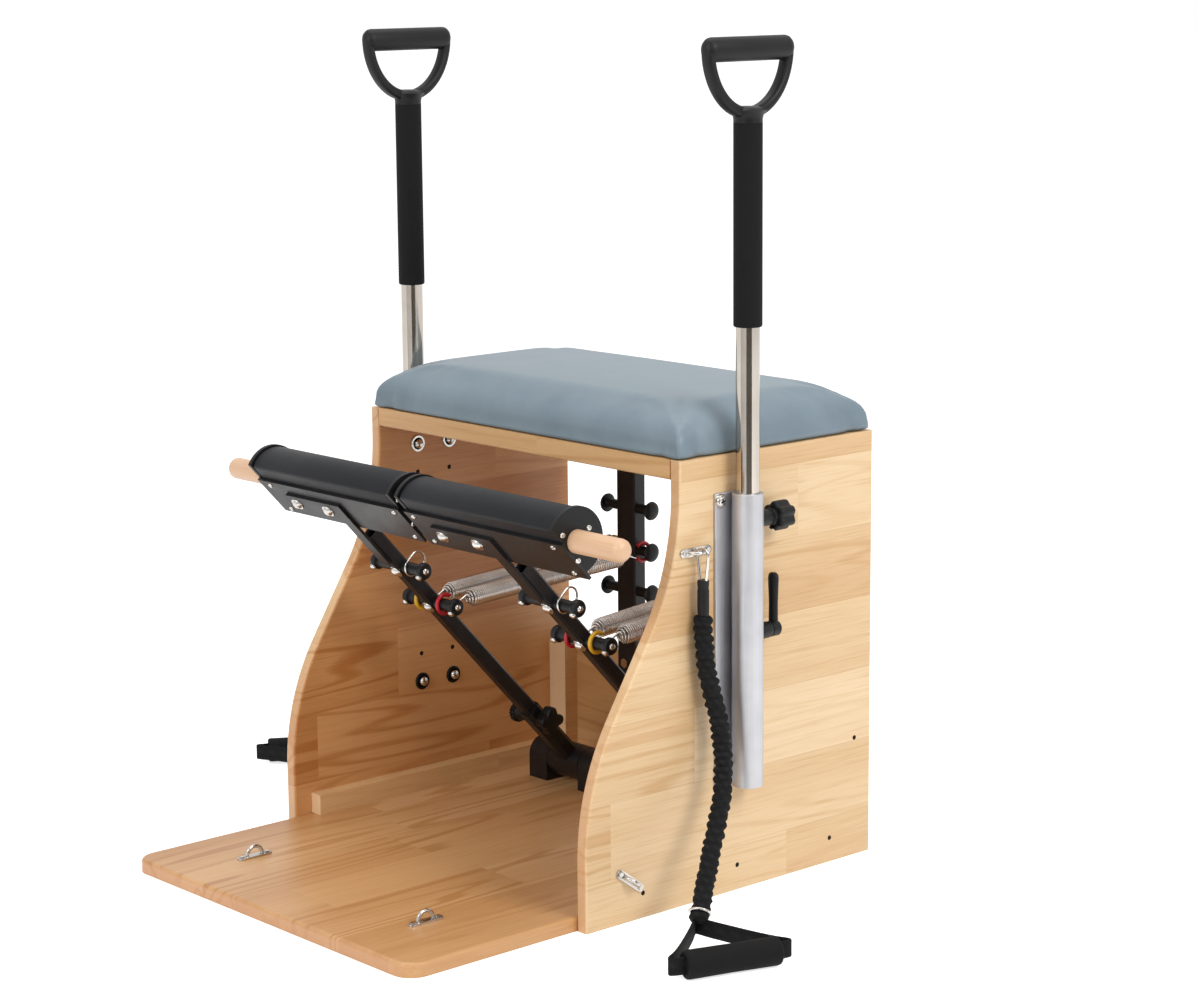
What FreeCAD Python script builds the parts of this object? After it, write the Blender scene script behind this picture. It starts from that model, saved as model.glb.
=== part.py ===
import FreeCAD, Part
import math
import os

os.makedirs("parts", exist_ok=True)

V = FreeCAD.Vector
X_AXIS = V(1, 0, 0)
Y_AXIS = V(0, 1, 0)
Z_AXIS = V(0, 0, 1)

# Cabinet: two curved side panels, floor board, rear board, deck and battens (mm)
outer_width = 620.0
panel_t = 18.0
panel_height = 567.0
panel_depth = 504.0
top_setback = 159.0
curve_foot_share = 0.155
curve_straight = 0.25
curve_top_gap = 41.0
panel_edge_r = 3.5
base_reach = 262.0
base_t = 18.0
base_corner_r = 28.0
base_edge_r = 5.0
rear_board_t = 18.0
rear_board_h = 175.0
batten_w = 20.0
batten_h = 28.0
batten_front_gap = 28.0
corner_batten_w = 34.0
corner_batten_d = 23.0
deck_t = 25.0
rear_rail_h = 60.0

# Seat
seat_board_t = 12.0
seat_board_inset = 16.0
cushion_h = 63.0
cushion_crown = 6.0
cushion_corner_r = 50.0
cushion_shoulder_r = 34.0
cushion_tuck_r = 9.0
soft_gap = 0.3

# Pedal hinge
arm_spread = 154.0
hinge_setback = 114.0
hinge_height = 32.0
arm_angle = 47.0
hub_d = 50.0
hub_len = 64.0
shaft_d = 16.0
shaft_gap = 0.05
block_w = 38.0
block_gap = 1.0
hinge_bolt_d = 8.0
hinge_bolt_grip = 14.0

# Pedal arm, its socket and clamp knob
arm_w = 20.0
arm_wall = 2.0
arm_corner_r = 3.0
arm_len = 520.0
socket_wall = 3.0
socket_len = 125.0
socket_gap = 0.15
tongue_t = 4.0
tongue_lap = 50.0
clamp_at = 106.0
clamp_stud_d = 8.0
hole_gap = 0.2
knob_lobes = 4
knob_waist = 0.68
knob_d = 40.0
knob_w = 16.0
knob_neck = 8.0
knob_neck_d = 22.0
nut_d = 29.0
nut_rim = 9.0
nut_shank = 20.0
nut_shank_d = 21.0
nut_bite = 14.0

# Pedal pad
pad_r = 41.0
pad_past_arm = 76.0
pad_chord = 15.0
pad_plate_t = 4.0
pad_plate_below = 51.0
pad_plate_above = 14.0
pad_split = 12.0
pad_end_t = 6.0
pad_end_lip = 1.5
pad_fold_r = 4.0
dowel_d = 29.0
dowel_out = 88.0
dowel_in = 70.0
dowel_tip = 7.0
pad_bolt_d = 8.0
pad_bolt_near = 26.0
pad_bolt_far = 94.0
pad_bolt_below = 20.0

# Spring pegs on the arms and on the rear columns
peg_d = 16.0
peg_reach = 54.0
peg_cap_d = 26.0
peg_cap_t = 10.0
peg_cap_flat = 1.5
peg_low_back = 150.0
peg_high_back = 72.0
link_wire_d = 4.0
link_r = 12.0
link_straight = 12.0
column_spread = 146.0
column_w = 38.0
column_wall = 2.5
column_corner = 2.0
column_tab_t = 4.0
column_tab_h = 48.0
column_bolt_bite = 14.0
column_peg_d = 14.0
column_peg_reach = 25.0
column_cap_d = 27.0
column_cap_t = 8.0
column_peg_first = 0.318
column_peg_step = 0.2076
peg_rear_gap = 0.5
column_peg_rows = 3

# Extension springs and bent wires
wire_sides = 4
spring_d = 27.0
spring_wire = 4.2
spring_turns = 7
spring_loop_r = 13.0
spring_neck = 30.0
spring_side = 23.0

# Hand posts and their holders
post_d = 30.0
post_wall = 2.0
post_gap = 0.1
post_offset = 23.0
post_setback = 251.0
post_below_lever = 10.0
post_into_handle = 20.0
holder_d = 40.0
holder_flange_w = 84.0
holder_flange_t = 4.0
holder_bottom = 130.0
holder_below_seat = 47.0
holder_bolt_d = 8.0
holder_bolt_pitch = 56.0
holder_washer_t = 2.5
holder_nut_h = 9.0
holder_bolt_rise = 40.0
holder_bolt_drop = 10.0
grip_d = 36.0
grip_above_seat = 160.0
grip_len = 249.0
grip_gap = 0.1
grip_end = 1.5
handle_socket_h = 30.0
handle_rise = 90.0
handle_w = 146.0
handle_bar_d = 27.0
handle_rim = 16.0
handle_web_t = 22.0
handle_corner = 7.0
handle_web_floor = 3.0

# Clamp screws that hold the posts
clamp_boss_d = 20.0
clamp_boss_len = 17.0
clamp_boss_root = 3.0
post_knob_drop = 36.0
post_knob_d = 38.0
post_knob_w = 30.0
post_knob_lobes = 6
post_lever_share = 0.5385
lever_hub_d = 20.0
lever_hub_len = 16.0
lever_len = 72.0
lever_foot_w = 11.0
lever_tip_w = 17.0
lever_t = 12.0
turn_gap = 0.5

# Pad eyes, cords and floor grips
eye_len = 54.0
eye_w = 14.0
eye_t = 3.0
eye_wire_d = 5.0
eye_r = 12.0
eye_corner = 4.5
eye_below_seat = 115.0
eye_setback = 320.0
eye_low_setback = 433.0
eye_low_z = 53.0
eye_low_tilt = 36.0
base_eye_spread = 180.0
base_eye_gap = 115.0
screw_head_d = 7.0
screw_head_t = 1.6
hook_r = 9.0
hook_wire_d = 4.0
hook_len = 24.0
ferrule_d = 13.0
ferrule_len = 46.0
cord_d = 24.0
cord_sides = 8
cord_grip_d = 35.0
strap_t = 3.0
strap_w = 22.0
strap_bend_r = 9.0
strap_lift = 6.0
strap_out = 24.0
strap_tuck = 14.0

# Places that follow from the sizes above
total_depth = base_reach + panel_depth
front_y = -total_depth / 2
panel_y = front_y + base_reach
rear_y = total_depth / 2
half_out = outer_width / 2
half_in = half_out - panel_t
deck_front_y = panel_y + top_setback
board_front_y = rear_y - rear_board_t
board_top_z = base_t + rear_board_h
deck_bottom_z = panel_height - deck_t
rail_bottom_z = deck_bottom_z - rear_rail_h
hinge_y = rear_y - hinge_setback
hinge_z = base_t + hinge_height
arm_face = arm_w / 2
pad_seat = arm_face - pad_plate_t
pad_o = pad_seat - pad_chord
post_x = half_out + post_offset
post_y = rear_y - post_setback
column_front_y = board_front_y - column_tab_t
peg_y = rear_y - column_cap_d / 2 - peg_rear_gap
pad_at = arm_len + pad_past_arm
pad_plate_low = pad_at - pad_plate_below
pad_plate_high = pad_at + pad_plate_above
pad_bolt_at = pad_at - pad_bolt_below
tongue_start = arm_len - tongue_lap
peg_low_at = arm_len - peg_low_back
peg_high_at = arm_len - peg_high_back
column_rise = rail_bottom_z - board_top_z
holder_top = panel_height - holder_below_seat
holder_bolt_low = holder_bottom + holder_bolt_rise
holder_bolt_high = holder_top - holder_bolt_drop
post_knob_z = holder_top - post_knob_drop
post_lever_z = holder_bottom + post_lever_share * (holder_top - holder_bottom)
post_bottom = post_lever_z - post_below_lever
grip_bottom = panel_height + grip_above_seat
grip_top = grip_bottom + grip_len
post_top = grip_top + post_into_handle
handle_bar_z = grip_top + handle_rise
eye_high_z = panel_height - eye_below_seat
nodes = {}


def box(x0, x1, y0, y1, z0, z1):
    return Part.makeBox(x1 - x0, y1 - y0, z1 - z0, V(x0, y0, z0))


def rod(d, start, direction, length):
    return Part.makeCylinder(d / 2, length, start, direction)


def bolt_hole(d, start, direction, length):
    return prism(d + hole_gap, 8, start, direction, length)


def peg_hole(d, start, direction, length):
    return prism(d + hole_gap, 12, start, direction, length)


def rounded(shape, radius, pick):
    return shape.makeFillet(radius, [e for e in shape.Edges if pick(e)])


def chamfered(shape, size, pick):
    return shape.makeChamfer(size, [e for e in shape.Edges if pick(e)])


def round_edge(edge):
    return edge.Curve.TypeId == "Part::GeomCircle"


def along(edge, axis):
    first = edge.Vertexes[0].Point
    last = edge.Vertexes[-1].Point
    span = last.sub(first)
    return span.Length > 1e-6 and span.cross(axis).Length < 1e-6 * span.Length


def level(edge, axis, value):
    return all(abs(v.Point.dot(axis) - value) < 1e-4 for v in edge.Vertexes)


def mirrored(shape):
    return shape.mirror(V(0, 0, 0), X_AXIS)


def sided(shape, side):
    return shape if side > 0 else mirrored(shape)


def pair(shape):
    return [shape, mirrored(shape)]


def keep(name, shapes):
    nodes[name] = Part.makeCompound(shapes) if isinstance(shapes, list) else shapes


def on_pedal(shape):
    turn = FreeCAD.Rotation(X_AXIS, 180.0 - arm_angle)
    placed = shape.copy()
    placed.Placement = FreeCAD.Placement(V(0, hinge_y, hinge_z), turn).multiply(placed.Placement)
    return placed


def pedal_point(x, s, o):
    turn = FreeCAD.Rotation(X_AXIS, 180.0 - arm_angle)
    return turn.multVec(V(x, s, o)).add(V(0, hinge_y, hinge_z))


def wire_section(d, at, direction, corners):
    points = []
    for i in range(corners + 1):
        turn = 2 * math.pi * (i + 0.5) / corners
        points.append(V(d / 2 * math.cos(turn), d / 2 * math.sin(turn), 0))
    ring = Part.makePolygon(points)
    ring.Placement = FreeCAD.Placement(at, FreeCAD.Rotation(Z_AXIS, direction))
    return ring


def prism(d, corners, start, direction, length):
    face = Part.Face(wire_section(d, start, direction, corners))
    return face.extrude(V(direction).normalize().multiply(length))


def hex_head(across, height, at, direction):
    return prism(2 * across / math.sqrt(3), 6, at, direction, height)


def hex_bolt(d, head_at, direction, head_h, length):
    head = hex_head(1.6 * d, head_h, head_at, direction)
    return head.fuse(prism(d, 8, head_at, V(direction).negative(), length))


# Side panels: straight foot, swept-back front edge, straight top
def panel_outline(x):
    curve_top = panel_height - curve_top_gap
    curve_foot = panel_height * curve_foot_share
    rise = curve_top - curve_foot
    reach2 = top_setback ** 2 + rise ** 2
    curve_radius = reach2 * (1 - curve_straight ** 2) / (4 * top_setback)
    swing = 2 * curve_radius - top_setback
    tilt = math.asin(2 * curve_radius / math.hypot(rise, swing)) - math.atan2(swing, rise)
    arc_run = curve_radius * (1 - math.cos(tilt))
    arc_rise = curve_radius * math.sin(tilt)
    half = tilt / 2

    def at(y, z):
        return V(x, panel_y + y, z)

    low_mid = at(curve_radius * (1 - math.cos(half)), curve_foot + curve_radius * math.sin(half))
    low_end = at(arc_run, curve_foot + arc_rise)
    high_start = at(top_setback - arc_run, curve_top - arc_rise)
    high_mid = at(top_setback - curve_radius * (1 - math.cos(half)), curve_top - curve_radius * math.sin(half))
    edges = [
        Part.makeLine(at(0, 0), at(0, curve_foot)),
        Part.Arc(at(0, curve_foot), low_mid, low_end).toShape(),
        Part.makeLine(low_end, high_start),
        Part.Arc(high_start, high_mid, at(top_setback, curve_top)).toShape(),
        Part.makeLine(at(top_setback, curve_top), at(top_setback, panel_height)),
        Part.makeLine(at(top_setback, panel_height), at(panel_depth, panel_height)),
        Part.makeLine(at(panel_depth, panel_height), at(panel_depth, 0)),
        Part.makeLine(at(panel_depth, 0), at(0, 0)),
    ]
    return Part.Face(Part.Wire(edges))


def side_panel():
    panel = panel_outline(half_in).extrude(V(panel_t, 0, 0))
    front = panel_y + top_setback + 1

    def soft_edge(edge):
        on_face = level(edge, X_AXIS, half_in) or level(edge, X_AXIS, half_out)
        at_front = all(v.Point.y < front for v in edge.Vertexes)
        at_rear = level(edge, Y_AXIS, rear_y)
        return on_face and (at_front or at_rear) and not level(edge, Z_AXIS, 0)

    panel = rounded(panel, panel_edge_r, soft_edge)
    for dy in (-holder_bolt_pitch / 2, holder_bolt_pitch / 2):
        for z in (holder_bolt_low, holder_bolt_high):
            panel = panel.cut(bolt_hole(holder_bolt_d, V(half_in, post_y + dy, z), X_AXIS, panel_t))
    return panel


panel = side_panel()
keep("side_panel_right", panel)
keep("side_panel_left", mirrored(panel))


# Floor board with rounded front corners and bolt wells under the hinge blocks
def block_x(side, end):
    return side * arm_spread + end * (hub_len / 2 + block_gap + block_w / 2)


def base_board():
    board = box(-half_in, half_in, front_y, rear_y, 0, base_t)
    board = rounded(board, base_corner_r, lambda e: along(e, Z_AXIS) and level(e, Y_AXIS, front_y))

    def soft_edge(edge):
        return level(edge, Z_AXIS, base_t) and all(v.Point.y < panel_y for v in edge.Vertexes)

    board = rounded(board, base_edge_r, soft_edge)
    head_depth = base_t - hinge_bolt_grip + hinge_bolt_d / 2
    for side in (-1, 1):
        for end in (-1, 1):
            foot = V(block_x(side, end), hinge_y, 0)
            board = board.cut(bolt_hole(hinge_bolt_d, foot, Z_AXIS, base_t))
            board = board.cut(bolt_hole(2.2 * hinge_bolt_d, foot, Z_AXIS, head_depth))
    return board


keep("base_board", base_board())

rear_board = box(-half_in, half_in, board_front_y, rear_y, base_t, board_top_z)
deck = box(-half_in, half_in, deck_front_y, rear_y, deck_bottom_z, panel_height)
deck = rounded(deck, panel_edge_r, lambda e: level(e, Y_AXIS, deck_front_y) and level(e, Z_AXIS, deck_bottom_z))
rear_rail = box(-half_in, half_in, board_front_y, rear_y, rail_bottom_z, deck_bottom_z)
corner_y = board_front_y - corner_batten_d
corner_x = half_in - corner_batten_w
floor_batten = box(half_in - batten_w, half_in, panel_y + batten_front_gap, corner_y, base_t, base_t + batten_h)
corner_batten = box(corner_x, half_in, corner_y, board_front_y, base_t, board_top_z)
rear_batten = box(-corner_x, corner_x, board_front_y - batten_w, board_front_y, base_t, base_t + batten_w)
keep("battens", pair(floor_batten) + pair(corner_batten) + [rear_batten])
keep("top_deck", deck)


# Seat: plywood board let into the underside of a crowned cushion
def cushion_slice(inset, z):
    x = half_out - inset
    y0 = deck_front_y + inset
    y1 = rear_y - inset
    r = max(cushion_corner_r - 0.6 * inset, cushion_tuck_r)
    c = r * (1 - math.sqrt(0.5))
    edges = []
    spots = [(x, y0, -1, 1), (x, y1, -1, -1), (-x, y1, 1, -1), (-x, y0, 1, 1)]
    ends = []
    for k, (cx, cy, sx, sy) in enumerate(spots):
        a = V(cx + sx * r, cy, z)
        b = V(cx, cy + sy * r, z)
        first, second = (a, b) if k % 2 == 0 else (b, a)
        ends.append((first, V(cx + sx * c, cy + sy * c, z), second))
    for k, (first, middle, second) in enumerate(ends):
        edges.append(Part.Arc(first, middle, second).toShape())
        edges.append(Part.makeLine(second, ends[(k + 1) % 4][0]))
    return Part.Wire(edges)


def seat_cushion():
    edge_h = cushion_h - cushion_crown
    slices = []
    for turn in (0, 90):
        q = math.radians(turn)
        slices.append((cushion_tuck_r * (1 - math.sin(q)), cushion_tuck_r * (1 - math.cos(q))))
    for turn in (0, 30, 60, 90):
        q = math.radians(turn)
        slices.append((cushion_shoulder_r * (1 - math.cos(q)), edge_h - cushion_shoulder_r * (1 - math.sin(q))))
    middle = (rear_y - deck_front_y) / 2
    for share in (0.4, 0.9):
        inset = cushion_shoulder_r + share * (middle - cushion_shoulder_r)
        slices.append((inset, cushion_h - cushion_crown * (1 - share) ** 2))
    wires = [cushion_slice(inset, panel_height + z) for inset, z in slices]
    body = Part.makeLoft(wires, True, True)
    inset = seat_board_inset
    board = box(-half_out + inset, half_out - inset, deck_front_y + inset, rear_y - inset,
                panel_height, panel_height + seat_board_t)
    return body.cut(board), board


cushion, seat_board = seat_cushion()
keep("seat_cushion", cushion)
keep("seat_board", seat_board)


# Pedal hinges: a round-topped block each side of the hub, a fixed shaft through both
def bearing_block(side, end):
    x = block_x(side, end)
    x0 = x - block_w / 2
    body = box(x0, x0 + block_w, hinge_y - hub_d / 2, hinge_y + hub_d / 2, base_t, hinge_z)
    body = body.fuse(rod(hub_d, V(x0, hinge_y, hinge_z), X_AXIS, block_w)).removeSplitter()
    body = body.cut(rod(shaft_d + 2 * shaft_gap, V(x0, hinge_y, hinge_z), X_AXIS, block_w))
    bolt_top = base_t + hinge_bolt_grip
    return body.cut(bolt_hole(hinge_bolt_d, V(x, hinge_y, base_t), Z_AXIS, bolt_top - base_t))


def hinge_bolt(side, end):
    x = block_x(side, end)
    head_top = base_t - hinge_bolt_grip + hinge_bolt_d / 2
    length = base_t + hinge_bolt_grip - 1 - head_top
    return hex_bolt(hinge_bolt_d, V(x, hinge_y, head_top), V(0, 0, -1), 0.6 * hinge_bolt_d, length)


sides = (-1, 1)
shaft_reach = hub_len / 2 + block_gap + block_w
keep("bearing_blocks", [bearing_block(s, e) for s in sides for e in sides])
keep("hinge_shafts", [rod(shaft_d, V(s * arm_spread - shaft_reach, hinge_y, hinge_z), X_AXIS, 2 * shaft_reach)
                      for s in sides])


# Pedal pieces are drawn with the arm along Y and its front face to +Z, then laid on the hinge
def square_bar(x, width, start, end, corner):
    bar = box(x - width / 2, x + width / 2, start, end, -width / 2, width / 2)
    return chamfered(bar, corner, lambda e: along(e, Y_AXIS))


def hub(side):
    x = side * arm_spread
    outer = arm_w + 2 * (socket_wall + socket_gap)
    body = rod(hub_d, V(x - hub_len / 2, 0, 0), X_AXIS, hub_len)
    body = body.fuse(square_bar(x, outer, 0, socket_len, arm_corner_r + socket_wall))
    body = body.cut(square_bar(x, arm_w + 2 * socket_gap, hub_d / 2 + 2, socket_len, arm_corner_r))
    body = body.cut(rod(shaft_d + 2 * shaft_gap, V(x - hub_len / 2, 0, 0), X_AXIS, hub_len))
    return body.cut(rod(clamp_stud_d + hole_gap, V(x - outer, clamp_at, 0), X_AXIS, 2 * outer))


def arm(side):
    x = side * arm_spread
    start = hub_d / 2 + 2 + socket_gap
    body = square_bar(x, arm_w, start, arm_len, arm_corner_r)
    inner = arm_w - 2 * arm_wall
    body = body.cut(square_bar(x, inner, start, arm_len, arm_corner_r - arm_wall / 2))
    tongue_top = pad_bolt_at + 2 * pad_bolt_d
    tongue = box(x - arm_w / 2, x + arm_w / 2, tongue_start, tongue_top, arm_face, arm_face + tongue_t)
    foot_left = x - pad_bolt_far - 1.6 * pad_bolt_d
    foot_low = pad_bolt_at - 2 * pad_bolt_d
    foot = box(foot_left, x, foot_low, tongue_top, arm_face, arm_face + tongue_t)
    body = body.fuse(tongue.fuse(foot)).removeSplitter()
    for reach in (pad_bolt_near, pad_bolt_far):
        body = body.cut(bolt_hole(pad_bolt_d, V(x - reach, pad_bolt_at, arm_face), Z_AXIS, tongue_t))
    for s in (peg_low_at, peg_high_at):
        body = body.cut(peg_hole(peg_d, V(x - arm_w, s, 0), X_AXIS, 2 * arm_w))
        body = body.cut(bolt_hole(clamp_stud_d, V(x, s, 0), Z_AXIS, arm_w))
    return body.cut(rod(clamp_stud_d + hole_gap, V(x - arm_w, clamp_at, 0), X_AXIS, 2 * arm_w))


def pad_ends(side):
    inner = side * pad_split / 2
    outer = side * half_out
    return min(inner, outer), max(inner, outer)


def pad_section(radius, x0, x1, chord_o):
    roll = rod(2 * radius, V(x0, pad_at, pad_o), X_AXIS, x1 - x0)
    return roll.cut(box(x0, x1, pad_at - 2 * radius, pad_at + 2 * radius, chord_o, chord_o + 2 * radius))


def pad_cushion(side):
    x0, x1 = pad_ends(side)
    body = pad_section(pad_r, x0 + pad_end_t, x1 - pad_end_t, pad_seat)
    body = rounded(body, pad_fold_r, lambda e: along(e, X_AXIS) and level(e, Z_AXIS, pad_seat))
    tip = side * half_out
    hole = rod(dowel_d + 2 * soft_gap, V(tip, pad_at, pad_o), V(-side, 0, 0), dowel_in + soft_gap)
    return body.cut(hole)


def pad_end_plates(side):
    x0, x1 = pad_ends(side)
    radius = pad_r + pad_end_lip
    plates = [pad_section(radius, x0, x0 + pad_end_t, pad_seat), pad_section(radius, x1 - pad_end_t, x1, pad_seat)]
    hole = rod(dowel_d + hole_gap, V(side * half_out, pad_at, pad_o), V(-side, 0, 0), pad_end_t)
    return [p.cut(hole) for p in plates]


def pad_plate(side):
    x0, x1 = pad_ends(side)
    plate = box(x0, x1, pad_plate_low, pad_plate_high, pad_seat, arm_face)
    for reach in (pad_bolt_near, pad_bolt_far):
        spot = V(side * arm_spread - reach, pad_bolt_at, pad_seat)
        plate = plate.cut(bolt_hole(pad_bolt_d, spot, Z_AXIS, pad_plate_t))
    return plate


def dowel(side):
    start = V(side * (half_out - dowel_in), pad_at, pad_o)
    body = rod(dowel_d, start, V(side, 0, 0), dowel_in + dowel_out)
    return chamfered(body, dowel_tip, lambda e: level(e, X_AXIS, side * (half_out + dowel_out)))


def spring_peg(x, s):
    cap_at = peg_reach - peg_cap_t
    flat_o = peg_cap_d / 2 - peg_cap_flat
    peg = prism(peg_d, 12, V(x - cap_at, s, 0), X_AXIS, 2 * cap_at)
    for end in (-1, 1):
        cap = prism(peg_cap_d, 12, V(x + end * cap_at, s, 0), V(end, 0, 0), peg_cap_t)
        flat = box(x - 2 * peg_reach, x + 2 * peg_reach, s - peg_cap_d, s + peg_cap_d, flat_o, peg_cap_d)
        peg = peg.fuse(cap.cut(flat))
    return peg.removeSplitter()


def pedal_fasteners(side):
    x = side * arm_spread
    pieces = []
    foot_face = arm_face + tongue_t
    for reach in (pad_bolt_near, pad_bolt_far):
        spot = V(x - reach, pad_bolt_at, foot_face)
        pieces.append(hex_bolt(pad_bolt_d, spot, Z_AXIS, 0.7 * pad_bolt_d, foot_face - pad_seat))
    for s in (peg_low_at, peg_high_at):
        tip = peg_d / 2 + hole_gap
        pieces.append(hex_bolt(clamp_stud_d, V(x, s, arm_face), Z_AXIS, 0.7 * clamp_stud_d, arm_face - tip))
        for end in (-1, 1):
            seat = V(x + end * (peg_reach - peg_cap_t / 2), s, peg_cap_d / 2 - peg_cap_flat)
            pieces.append(prism(0.85 * peg_cap_t, 6, seat, Z_AXIS, 0.5 * peg_cap_t))
    return pieces


def keeper_link(side):
    slack = link_r - link_wire_d / 2 - peg_d / 2 - soft_gap
    x = side * arm_spread + spring_side
    near = V(x, peg_high_at, -slack)
    far = V(x, peg_high_at, -slack - link_straight)
    ends = []
    for centre, turn in ((near, 1), (far, -1)):
        a = centre.add(V(0, link_r, 0))
        b = centre.add(V(0, -link_r, 0))
        ends.append(Part.Arc(a, centre.add(V(0, 0, turn * link_r)), b).toShape())
    runs = [Part.makeLine(near.add(V(0, d, 0)), far.add(V(0, d, 0))) for d in (link_r, -link_r)]
    path = Part.Wire(Part.__sortEdges__(ends + runs))
    ring = wire_section(link_wire_d, near.add(V(0, link_r, 0)), Z_AXIS, wire_sides)
    return path.makePipeShell([ring], True, False)


def star(radius, lobes, width, at, direction):
    waist = knob_waist * radius
    side_dir = Z_AXIS.cross(direction)
    ring = []
    for i in range(lobes):
        for share, reach in ((-0.22, radius), (0.22, radius), (0.4, waist), (0.6, waist)):
            turn = FreeCAD.Rotation(direction, 360.0 * (i + share) / lobes)
            ring.append(at.add(turn.multVec(side_dir).multiply(reach)))
    face = Part.Face(Part.makePolygon(ring + ring[:1]))
    return face.extrude(V(direction).normalize().multiply(width))


def clamp_knob(side):
    x = side * arm_spread
    outer = arm_w / 2 + socket_wall + socket_gap
    stud_in = outer + nut_bite
    neck_at = x + outer + turn_gap
    body = star(knob_d / 2, knob_lobes, knob_w, V(neck_at + knob_neck, clamp_at, 0), X_AXIS)
    body = body.fuse(rod(knob_neck_d, V(neck_at, clamp_at, 0), X_AXIS, knob_neck))
    return body.fuse(rod(clamp_stud_d, V(x - stud_in, clamp_at, 0), X_AXIS, stud_in + outer + turn_gap))


def clamp_nut(side):
    outer = arm_w / 2 + socket_wall + socket_gap
    face = V(side * arm_spread - outer, clamp_at, 0)
    shank = prism(nut_shank_d, 12, face, V(-1, 0, 0), nut_shank)
    rim = prism(nut_d, 12, face.add(V(-nut_shank, 0, 0)), V(-1, 0, 0), nut_rim)
    return shank.fuse(rim).cut(rod(clamp_stud_d + hole_gap, face, V(-1, 0, 0), nut_bite + hole_gap))


# Rear spring columns with their cross pegs
def column_x(side):
    return side * column_spread


def peg_levels():
    return [board_top_z + column_rise * (column_peg_first + column_peg_step * i) for i in range(column_peg_rows)]


def tab_bolt_spots(side):
    spots = []
    for edge, sign in ((board_top_z, -1), (rail_bottom_z, 1)):
        for share in (0.3, 0.75):
            spots.append(V(column_x(side), column_front_y, edge + sign * share * column_tab_h))
    return spots


def spring_column(side):
    x = column_x(side)

    def tube(inset):
        return box(x - column_w / 2 + inset, x + column_w / 2 - inset, column_front_y + inset, rear_y - inset,
                   board_top_z, rail_bottom_z)

    body = chamfered(tube(0), column_corner, lambda e: along(e, Z_AXIS)).cut(tube(column_wall))
    half = column_w / 2 - column_corner
    for low, high in ((board_top_z - column_tab_h, board_top_z), (rail_bottom_z, rail_bottom_z + column_tab_h)):
        body = body.fuse(box(x - half, x + half, column_front_y, board_front_y, low, high))
    lip = box(x - half, x + half, column_front_y, board_front_y, board_top_z, board_top_z + column_wall)
    body = body.fuse(lip).fuse(lip.translated(V(0, 0, rail_bottom_z - board_top_z - column_wall)))
    for z in peg_levels():
        body = body.cut(peg_hole(column_peg_d, V(x - column_w, peg_y, z), X_AXIS, 2 * column_w))
    for spot in tab_bolt_spots(side):
        body = body.cut(bolt_hole(holder_bolt_d, spot, Y_AXIS, column_tab_t))
    return body.removeSplitter()


def column_peg(side, z):
    x = column_x(side)
    reach = column_w / 2 + column_peg_reach
    body = prism(column_peg_d, 12, V(x - reach, peg_y, z), X_AXIS, 2 * reach)
    for end in (-1, 1):
        cap = prism(column_cap_d, 12, V(x + end * reach, peg_y, z), V(end, 0, 0), column_cap_t)
        tip = x + end * (reach + column_cap_t)
        body = body.fuse(chamfered(cap, column_cap_t / 3, lambda e: level(e, X_AXIS, tip)))
    return body.removeSplitter()


def column_bolt(spot):
    return hex_bolt(holder_bolt_d, spot, V(0, -1, 0), 0.6 * holder_bolt_d, column_tab_t + column_bolt_bite)


for side in sides:
    for spot in tab_bolt_spots(side):
        well = bolt_hole(holder_bolt_d, spot, Y_AXIS, column_tab_t + column_bolt_bite + hole_gap)
        rear_board = rear_board.cut(well)
        rear_rail = rear_rail.cut(well)
keep("rear_board", rear_board)
keep("rear_top_rail", rear_rail)
keep("spring_columns", [spring_column(s) for s in sides])
keep("column_pegs", [column_peg(s, z) for s in sides for z in peg_levels()])


# Springs: an end loop, a neck, the coil, a neck and an end loop, as one tube on tangent arcs
def biarc(p0, t0, p1, t1):
    v = p1.sub(p0)
    t = t0.add(t1)
    a = 2 * (1 - t0.dot(t1))
    b = v.dot(t)
    c = v.dot(v)
    if a < 1e-9:
        d = c / (4 * v.dot(t1))
    else:
        d = (-b + math.sqrt(b * b + a * c)) / a
    q0 = p0.add(V(t0).multiply(d))
    q1 = p1.sub(V(t1).multiply(d))
    joint = q0.add(q1).multiply(0.5)
    return [tangent_arc(p0, t0, joint), tangent_arc(p1, V(t1).negative(), joint)]


def tangent_arc(p, t, q):
    chord = q.sub(p)
    normal = t.cross(chord).cross(t)
    if normal.Length < 1e-7 * chord.Length:
        return Part.makeLine(p, q)
    normal.normalize()
    radius = chord.dot(chord) / (2 * chord.dot(normal))
    centre = p.add(V(normal).multiply(radius))
    middle = p.add(q).multiply(0.5).sub(centre).normalize()
    if chord.dot(t) < 0:
        middle = middle.negative()
    return Part.Arc(p, centre.add(middle.multiply(abs(radius))), q).toShape()


def spring_frame(start, end):
    u = end.sub(start).normalize()
    v = Z_AXIS.cross(u).normalize()
    return u, v, u.cross(v)


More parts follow.
